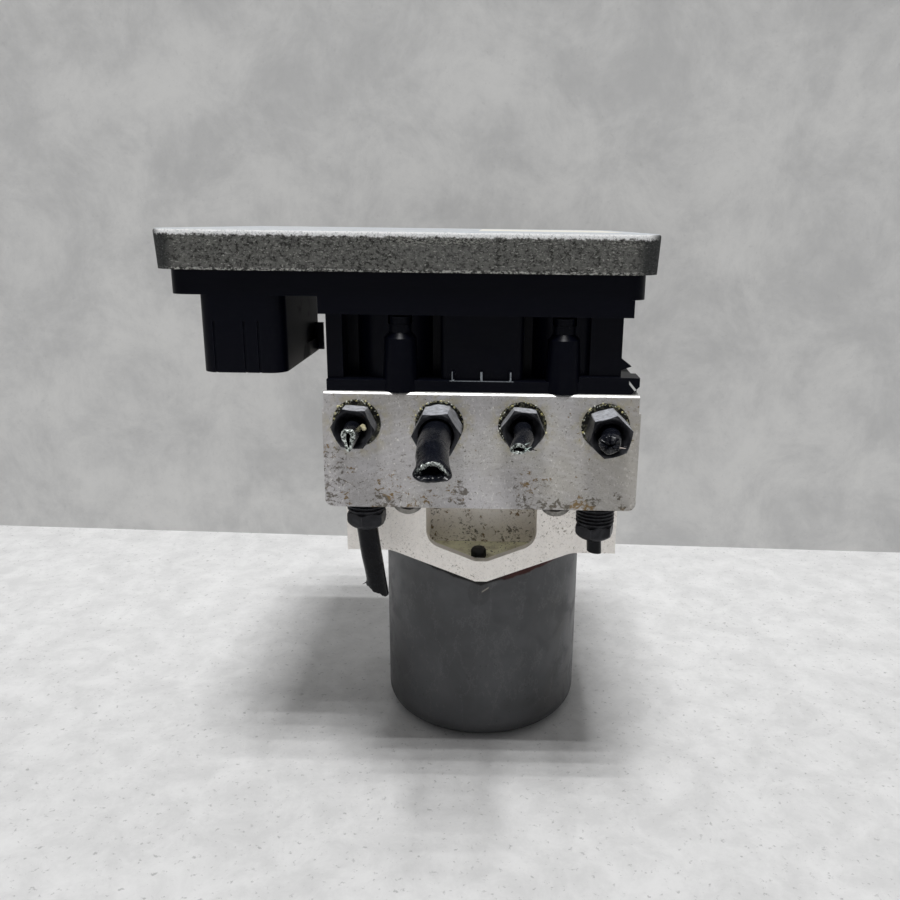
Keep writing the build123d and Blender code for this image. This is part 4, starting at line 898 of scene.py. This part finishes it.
# %% Front nuts
# place along the block, corner radius, turn, height of the face, hexagon's length, thread radius, pipe radius
front_nuts = (
    (-36, 6.35, -4, 8.0, 7.0, 5.0, 2.4),
    (-12, 6.93, 3, 14.0, 12.0, 6.0, 4.3),
    (12, 6.35, -6, 7.0, 6.2, 5.0, 2.65),
    (36, 6.35, 16, 13.0, 11.5, 5.0, 2.8),
)
WIDE_FUNNEL = ((5.55, 0.0), (5.1, 0.12), (4.85, 0.7), (4.6, 2.2))
SMALL_FUNNEL = ((5.15, 0.0), (4.95, 0.12), (4.6, 0.5), (4.15, 1.1), (3.75, 1.9), (3.4, 3.0))
INNER_END = -10.9
for number, (across, corner, turn, face, hexagon, thread, pipe) in enumerate(front_nuts, 1):
    back = face - hexagon
    flat = corner * math.cos(math.radians(30))
    funnel = WIDE_FUNNEL if number == 2 else SMALL_FUNNEL
    outline = [(thread - 0.1, INNER_END), (thread - 0.1, back), (corner - 1.0, back)]
    outline += [(corner - 0.4, back + 0.2), (corner, back + 0.7)]
    for step in range(6):
        outline.append((corner + (flat * 1.015 - corner) * step / 5, face - 0.85 * (1 - step / 5)))
    outline += [(radius, face - depth) for radius, depth in funnel]
    outline += [(pipe + 0.15, face - 4.5), (pipe + 0.15, INNER_END)]
    nut = turned(outline)
    mill_hexagon(nut, corner, back, face)
    place = at_port(across) @ spun(turn)
    settle("tube_nut_%d" % number, nut, finishes["black_nut"], place, ("port_nut_%d" % number,))
print("front nuts:", len(front_nuts))

# %% [markdown]
# ### Two nuts under the block
#
# The inlet nuts aren't screwed home, so some turns of thread show above the hexagon. A thread is drawn here
# as separate rings, because at this size nobody can tell them from a helix. The lathe took the lower
# corners well down towards the pipe.

# %% Lower nuts
# side, length of thread that shows, length of the hexagon, turn, pipe radius
lower_nuts = {"left": (-1, 6.0, 5.2, 36, 3.3), "right": (1, 9.1, 4.75, 46, 2.3)}
PITCH, CORNER = 1.12, 6.35
THREAD = ((5.35, 0), (5.45, 0.18), (6.0, 0.42), (6.0, 0.62), (5.45, 0.86))
ROUNDING = ((CORNER, 2.6), (6.2, 2.0), (5.85, 1.45), (5.35, 0.95), (4.75, 0.5), (4.1, 0.15))
for name, (side, shown, hexagon, turn, pipe) in lower_nuts.items():
    face = shown + hexagon
    rings_shown = int((shown - 0.6) / PITCH)
    rings = []
    for ring in range(-7, rings_shown):
        start = shown - 0.55 - (rings_shown - ring) * PITCH
        rings += [(radius, start + share * PITCH) for radius, share in THREAD]
    outline = [(4.0, rings[0][1])] + rings
    outline += [(5.35, shown - 0.5), (5.35, shown), (5.8, shown), (6.2, shown + 0.2), (CORNER, shown + 0.6)]
    outline += [(radius, face - depth) for radius, depth in ROUNDING]
    outline += [(pipe + 0.45, face), (pipe + 0.2, face - 0.3), (pipe + 0.2, face - 3.0), (4.0, face - 3.2)]
    nut = turned(outline)
    mill_hexagon(nut, CORNER, shown, face)
    place = at_inlet(side) @ spun(turn)
    settle("inlet_tube_nut_" + name, nut, finishes["black_nut"], place, ("inlet_nut_" + name,))
print("lower nuts:", len(lower_nuts))

# %% [markdown]
# ## Accumulator springs
#
# A spring sits between each accumulator piston and its cap, and shortens when brake fluid pushes the piston
# down. The piece is a merged copy of the solid spring.

# %% Accumulator springs
for side in ("left", "right"):
    solid = frame["nodes"]["accumulator_spring_" + side]
    spring = bmesh.new()
    spring.from_mesh(solid.data)
    bmesh.ops.remove_doubles(spring, verts=spring.verts, dist=1e-7)
    solid_name = "accumulator_spring_" + side
    piece = settle("coiled_spring_" + side, spring, finishes["steel"], stands_for=(solid_name,))
    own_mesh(piece)

# %% [markdown]
# ## Pipe stubs
#
# Pliers squeeze a pipe flat before they part it. Each stub is a grid wrapped into a tube: across the grid
# runs the angle round the pipe, and along it run stations that say how wide, how high and how far off the
# axis the tube is there. The stations go out along the outside, over the torn rim and back along the bore.
# Three bulges to a turn make a mouth triangular, and noise tears its rim.

# %% Drawing a tube


def drawn_tube(stations, seed, low_bare=1.0, around=56, between_stations=5):
    """A station is (along, half width, half height, off across, off up, triangle, tear, bare)."""
    rows = []
    for first, second in zip(stations, stations[1:]):
        for step in range(between_stations):
            share = step / between_stations
            rows.append([a + (b - a) * share for a, b in zip(first, second)])
    rows.append(list(stations[-1]))
    shape = bmesh.new()
    bmesh.ops.create_grid(shape, x_segments=around, y_segments=len(rows) - 1, size=1)
    bare = shape.verts.layers.float.new("bare")
    for vert in shape.verts:
        bearing = math.pi * vert.co.x
        row = rows[round((vert.co.y + 1) / 2 * (len(rows) - 1))]
        along, wide, high, across, up, triangle, tear, shows = row
        reach = 1 + triangle * math.cos(3 * (bearing - math.pi / 2))
        ragged = noise.noise(Vector((1.7 * math.cos(bearing), 1.7 * math.sin(bearing), seed)))
        ragged += 0.5 * noise.noise(Vector((5 * math.cos(bearing), 5 * math.sin(bearing), seed + 3)))
        sideways = across + wide * reach * math.cos(bearing)
        upward = up + high * reach * math.sin(bearing)
        vert.co = Vector((sideways, upward, along + tear * ragged)) * MM
        vert[bare] = shows * (1 + (low_bare - 1) * (0.5 - 0.5 * math.sin(bearing)))
    bmesh.ops.remove_doubles(shape, verts=shape.verts, dist=1e-7)
    bmesh.ops.holes_fill(shape, edges=[edge for edge in shape.edges if edge.is_boundary])
    bmesh.ops.recalc_face_normals(shape, faces=shape.faces)
    return shape


# %% Front stubs
front_stubs = {
    1: (
        (-9, 2.4, 2.4, 0, 0, 0, 0, 0), (7, 2.4, 2.4, 0, 0, 0, 0, 0), (12, 2.4, 2.5, 0.4, 0.1, 0, 0, 0),
        (17, 2.0, 3.0, 1.1, 0.6, -0.06, 0, 0.1), (21.5, 1.8, 3.05, 1.45, 1.0, -0.14, 0.4, 0.3),
        (22.6, 1.75, 3.0, 1.5, 1.1, -0.17, 0.8, 0.65), (22.9, 1.3, 2.65, 1.5, 1.1, -0.2, 0.9, 0.95),
        (22.7, 0.55, 2.1, 1.5, 0.95, -0.1, 0.8, 0.7), (21.5, 0.4, 1.9, 1.45, 0.8, 0, 0.3, 0),
        (14, 0.5, 1.6, 0.5, 0, 0, 0, 0),
    ),
    2: (
        (-9, 4.3, 4.3, 0, 0, 0, 0, 0), (24, 4.3, 4.3, 0, 0, 0, 0, 0), (35, 4.2, 4.1, 0.55, 0, 0, 0, 0),
        (40, 4.0, 3.5, 1.1, -0.1, 0.02, 0, 0), (44, 4.2, 2.95, 1.4, -0.1, 0.06, 0.3, 0),
        (46.3, 4.5, 2.75, 1.5, -0.1, 0.08, 0.5, 0.05), (47.7, 4.55, 2.6, 1.5, -0.1, 0.1, 0.8, 0.3),
        (47.9, 4.15, 2.25, 1.5, -0.05, 0.13, 1.0, 0.6), (47.5, 3.2, 1.6, 1.5, 0, 0.16, 0.9, 0.85),
        (46.6, 2.4, 1.05, 1.5, 0, 0.18, 0.7, 0.7), (44.5, 2.2, 0.95, 1.4, 0, 0.1, 0.4, 0),
        (37, 2.4, 1.9, 0.7, 0, 0, 0, 0),
    ),
    3: (
        (-9, 2.65, 2.65, 0, 0, 0, 0, 0), (15, 2.65, 2.65, 0, 0, 0, 0, 0), (20, 2.5, 2.3, -0.8, 0, 0, 0, 0),
        (24.5, 2.4, 1.7, -1.5, 0.1, 0, 0.3, 0.1), (26.0, 2.35, 1.5, -1.7, 0.15, 0.05, 0.6, 0.3),
        (26.8, 2.2, 1.35, -1.7, 0.15, 0.06, 0.9, 0.7), (26.9, 1.8, 0.9, -1.7, 0.15, 0.06, 1.0, 0.9),
        (26.4, 1.4, 0.5, -1.7, 0.1, 0, 0.6, 0.5), (25.0, 1.3, 0.4, -1.6, 0.1, 0, 0.2, 0),
        (20, 1.4, 0.7, -0.8, 0, 0, 0, 0),
    ),
    4: (
        (-9, 2.8, 2.8, 0, 0, 0, 0, 0), (12, 2.8, 2.8, 0, 0, 0, 0, 0), (16, 2.9, 2.85, -0.5, 0, 0, 0.2, 0),
        (19, 3.05, 2.85, -1.2, 0.1, -0.05, 0.9, 0), (20.2, 2.75, 2.35, -1.4, 0.1, -0.05, 1.0, 0.1),
        (20.9, 1.7, 1.25, -1.4, 0.1, -0.06, 1.0, 0.15), (21.0, 0.7, 0.4, -1.4, 0, 0, 0.8, 0.1),
        (18, 0.4, 0.25, -0.6, 0, 0, 0.2, 0),
    ),
}
for number, stations in front_stubs.items():
    stub = drawn_tube(stations, 4.2 * number, 0.3 if number == 2 else 1.0)
    place = at_port(PORTS[number - 1])
    settle("cut_pipe_%d" % number, stub, finishes["torn_pipe"], place, ("port_pipe_%d" % number,), 50)
print("front stubs:", len(front_stubs))

# %% [markdown]
# ### The long stub under the block
#
# This pipe leans to the right as it comes down, and its cut is slanted, so the far end of the cut hangs
# lowest. After the tube is drawn, a shear tilts its end: the further a vertex lies to the side, the further
# down it goes. The corner at the other side of the cut is pulled out a little.

# %% Lower stub
lower = drawn_tube((
    (-7, 3.3, 3.3, 0, 0, 0, 0, 0), (11, 3.3, 3.3, 0, 0, 0, 0, 0), (20, 3.3, 3.3, 1.1, 0, 0, 0, 0),
    (28, 3.3, 3.25, 2.3, 0, 0, 0.1, 0), (32.6, 3.45, 3.1, 3.0, 0, 0, 0.5, 0.1),
    (33.2, 3.3, 2.95, 3.05, 0, 0, 0.6, 0.2), (32.9, 2.4, 2.2, 3.05, 0, 0, 0.5, 0.1),
    (24, 2.3, 2.3, 1.7, 0, 0, 0, 0),
), 21.0)
LEAN, SHEAR_STARTS = 3.05, 22
for vert in lower.verts:
    down = max(0.0, min(1.0, (vert.co.z / MM - SHEAR_STARTS) / 10))
    vert.co.z += 0.56 * down * (vert.co.x - LEAN * MM)
    corner = max(0.0, -(vert.co.x / MM - LEAN) - 2.6) * max(0.0, vert.co.z / MM - 29.5)
    vert.co.x -= 0.5 * corner * MM
settle("cut_pipe_left", lower, finishes["black_pipe"], at_inlet(-1), ("inlet_pipe_left",), 50)
print("lower stub drawn")

# %% [markdown]
# ### Burrs
#
# Where the pliers slipped, shreds of the tube stand off its end: a black thorn and bright curls beside the
# third stub, a pale flap on the fourth. A shred is a cone of few sides, bent along its length by a
# parabola.

# %% Shreds of torn tube


def shred(name, finish, root, tip, thickness, bend):
    """A thin cone from root to tip, in millimetres, that sags to one side by bend."""
    shape = bmesh.new()
    start, end = Vector(root) * MM, Vector(tip) * MM
    length = (end - start).length
    bmesh.ops.create_cone(
        shape, cap_ends=True, segments=8, radius1=thickness * MM, radius2=thickness * 0.25 * MM, depth=length
    )
    lengthwise = [edge for edge in shape.edges if abs(edge.verts[0].co.z - edge.verts[1].co.z) > 1e-7]
    bmesh.ops.subdivide_edges(shape, edges=lengthwise, cuts=4)
    for vert in shape.verts:
        share = vert.co.z / length + 0.5
        vert.co.x += bend * MM * 4 * share * (1 - share) + 0.1 * MM * noise.noise(vert.co * 3000)
        vert.co.y *= 0.55
    turn = (end - start).to_track_quat("Z", "Y").to_matrix().to_4x4()
    bmesh.ops.recalc_face_normals(shape, faces=shape.faces)
    settle(name, shape, finishes[finish], Matrix.Translation((start + end) / 2) @ turn, sharp=50)


# name, finish, root, tip, thickness, bend
shreds = (
    ("thorn", "black_pipe", (12.2, -100.2, 130.6), (15.0, -100.2, 129.7), 0.42, -0.25),
    ("curl_high", "bare_shred", (12.0, -100.8, 131.4), (13.2, -101.2, 132.1), 0.34, 0.3),
    ("curl_low", "bare_shred", (12.0, -101.4, 129.9), (13.6, -101.0, 130.9), 0.4, 0.35),
    ("curl_middle", "bare_shred", (11.9, -101.2, 130.6), (13.4, -100.6, 129.4), 0.3, -0.3),
    ("flap", "pale_shred", (36.2, -94.6, 129.3), (39.0, -94.2, 129.0), 0.5, 0.35),
    ("flap_edge", "black_pipe", (36.4, -94.9, 128.4), (39.3, -93.8, 129.6), 0.3, 0.3),
    ("lip", "black_pipe", (-36.4, -60.6, 74.0), (-37.9, -60.9, 73.3), 0.34, 0.0),
)
for values in shreds:
    shred(*values)
print("shreds:", len(shreds))

# %% [markdown]
# ## Crumbs of residue
#
# Brake fluid and salt dry into crumbs where each nut meets its counterbore. A crumb is an icosphere of
# twenty faces, pushed out of shape. Most lie at the top and sides of the ring, where they aren't washed
# off. A larger fleck of brass colour sticks to the first nut.

# %% Crumbs round the nuts
random.seed(71)
for name, colour, count, least, most in (
    ("pale_crumbs", "pale_crumb", 46, 0.1, 0.3), ("yellow_crumbs", "yellow_crumb", 34, 0.12, 0.42)
):
    shape = bmesh.new()
    for across, corner, *rest in front_nuts:
        for crumb in range(count):
            bearing = math.radians(random.gauss(105, 62))
            distance = random.uniform(6.35, 7.15) + (0.25 if corner > 6.5 else 0)
            size = random.uniform(least, most) * MM
            out = random.uniform(-0.9, 0.1) * MM
            spot = (distance * math.cos(bearing) * MM, distance * math.sin(bearing) * MM, out)
            place = at_port(across) @ Matrix.Translation(spot)
            lump = bmesh.ops.create_icosphere(shape, subdivisions=1, radius=size, matrix=place)["verts"]
            for vert in lump:
                vert.co += Vector([random.uniform(-0.4, 0.4) * size for axis in range(3)])
    bmesh.ops.recalc_face_normals(shape, faces=shape.faces)
    settle(name, shape, finishes[colour], sharp=180)
fleck = bmesh.new()
lump = bmesh.ops.create_icosphere(fleck, subdivisions=3, radius=0.9 * MM)["verts"]
for vert in lump:
    vert.co *= 1 + 0.5 * noise.noise(vert.co * 1400)
    vert.co.y *= 0.5
place = Matrix.Translation((-32.9 * MM, -81.6 * MM, 130.6 * MM))
settle("brass_fleck", fleck, finishes["brass_fleck"], place)
print("crumbs round", len(front_nuts), "nuts")

# %% [markdown]
# ## Floor and wall
#
# The module stands on a pale board with a grey wall close behind. Both are staging, not part of the object.
# They get a faint mottle and fine specks, because perfectly even surfaces make a metal's reflections look
# artificial. Each is painted a little darker along one axis, as painted shade: the floor towards the front,
# the wall towards its top.

# %% Floor and wall


def backdrop(name, place, turn, dark, light, scale, speck, painted_shade_fade):
    """A large square sheet with a mottled matt finish. The painted shade is (axis, from, to, share)."""
    shape = bmesh.new()
    bmesh.ops.create_grid(shape, x_segments=1, y_segments=1, size=HALF_SHEET)
    bmesh.ops.transform(shape, matrix=Matrix.Translation(place) @ turn, verts=shape.verts)
    mesh = bpy.data.meshes.new(name)
    shape.to_mesh(mesh)
    shape.free()
    sheet = bpy.data.objects.new(name, mesh)
    bpy.context.collection.objects.link(sheet)
    tree, shader = new_finish(name, light, 0.8)
    here = place_on(tree)
    skin = shade(grain(here, scale, 7, 0.72, 0.3), 0.3, 0.7, dark, light)
    specks = between(grain(here, 430, 5, 0.7), 0.59, 0.67, 0.0, speck)
    skin = blend_colours(specks, skin, [part * 0.42 for part in dark])
    # Painted shade: the sheet darkens along one axis.
    axis, near, far, share = painted_shade_fade
    painted_shade_mask = between(xyz(here)[axis], near, far, 0.0, share)
    wire(shader, base_color=blend_colours(painted_shade_mask, skin, (0.0, 0.0, 0.0)))
    dress(sheet, finishes[name])


HALF_SHEET = 3.0
FLOOR_TONES = (0.7, 0.7, 0.7), (0.84, 0.84, 0.84)
WALL_TONES = (0.55, 0.55, 0.548), (0.72, 0.717, 0.706)
backdrop("floor", (0, 0, 0), Matrix.Identity(4), *FLOOR_TONES, 60, 0.55, ("Y", 0.12, -0.08, 0.09))
backdrop("wall", (0, 0.166, 1.2), spun(-2.0) @ spun(90, "X"), *WALL_TONES, 22, 0.1, ("Z", 0.22, 0.38, 0.15))
print("sheets: floor and wall")

# %% [markdown]
# ## Camera
#
# The camera stands a third of a metre away, a little above the module, and looks down by about fifteen
# degrees. Its rotation is built from three plain turns: yaw, pitch and a slight roll. The lens shift puts
# the centre of view a little to the side of the picture's centre, as a cropped picture has it.

# %% Camera
PICTURE_WIDTH, SENSOR_WIDTH = 900, 36.0
lens_pixels, centre_u, centre_v = 832.5, 484.4, 451.1
yaw, pitch, roll = -0.706, 15.376, 0.739
camera = bpy.data.objects.new("camera", bpy.data.cameras.new("camera"))
camera.data.sensor_width = SENSOR_WIDTH
camera.data.lens = lens_pixels / PICTURE_WIDTH * SENSOR_WIDTH
camera.data.shift_x = (PICTURE_WIDTH / 2 - centre_u) / PICTURE_WIDTH
camera.data.shift_y = (centre_v - PICTURE_WIDTH / 2) / PICTURE_WIDTH
camera.data.clip_start = 0.01
look = spun(-yaw) @ spun(90 - pitch, "X") @ spun(roll)
camera.matrix_world = Matrix.Translation((3.99 * MM, -308.45 * MM, 186.62 * MM)) @ look
bpy.context.collection.objects.link(camera)
bpy.context.scene.camera = camera
print("lens: %.1f mm" % camera.data.lens)

# %% [markdown]
# ## Light
#
# Four parallel tubes of a ceiling fitting hang two metres up. A tube is long from left to right and thin
# from front to back, so the front and back edges of the shadow are crisp and come four times, while its
# sides fade out. A grey sky fills the rest, and a wide, weak sheet of light behind the camera stands for
# the room.

# %% Light


def area_lamp(name, width, depth, power, place, aim):
    """A rectangular lamp that looks at a point."""
    lamp = bpy.data.objects.new(name, bpy.data.lights.new(name, "AREA"))
    lamp.data.shape = "RECTANGLE"
    lamp.data.size = width
    lamp.data.size_y = depth
    lamp.data.energy = power
    lamp.location = place
    lamp.rotation_euler = (Vector(aim) - Vector(place)).to_track_quat("-Z", "Y").to_euler()
    bpy.context.collection.objects.link(lamp)


CEILING, FITTING_X = 2.18, -0.057
TUBE_LENGTH, TUBE_WIDTH, TUBE_POWER = 0.49, 0.03, 10.2
for number, tube_y in enumerate((-0.822, -0.697, -0.562, -0.407), 1):
    place, below = (FITTING_X, tube_y, CEILING), (FITTING_X, tube_y, 0)
    area_lamp("tube_%d" % number, TUBE_LENGTH, TUBE_WIDTH, TUBE_POWER, place, below)
area_lamp("room", 1.6, 1.0, 1.2, (0.1, -1.6, 0.9), (0, 0, 0.12))
print("lamps:", len(bpy.data.lights))

# %% Sky and view
sky = bpy.data.worlds.new("sky")
sky.use_nodes = True
background = sky.node_tree.nodes["Background"]
background.inputs["Color"].default_value = (0.63, 0.635, 0.65, 1)
background.inputs["Strength"].default_value = 0.17
bpy.context.scene.world = sky
bpy.context.scene.view_settings.view_transform = "Standard"
print("world:", sky.name)
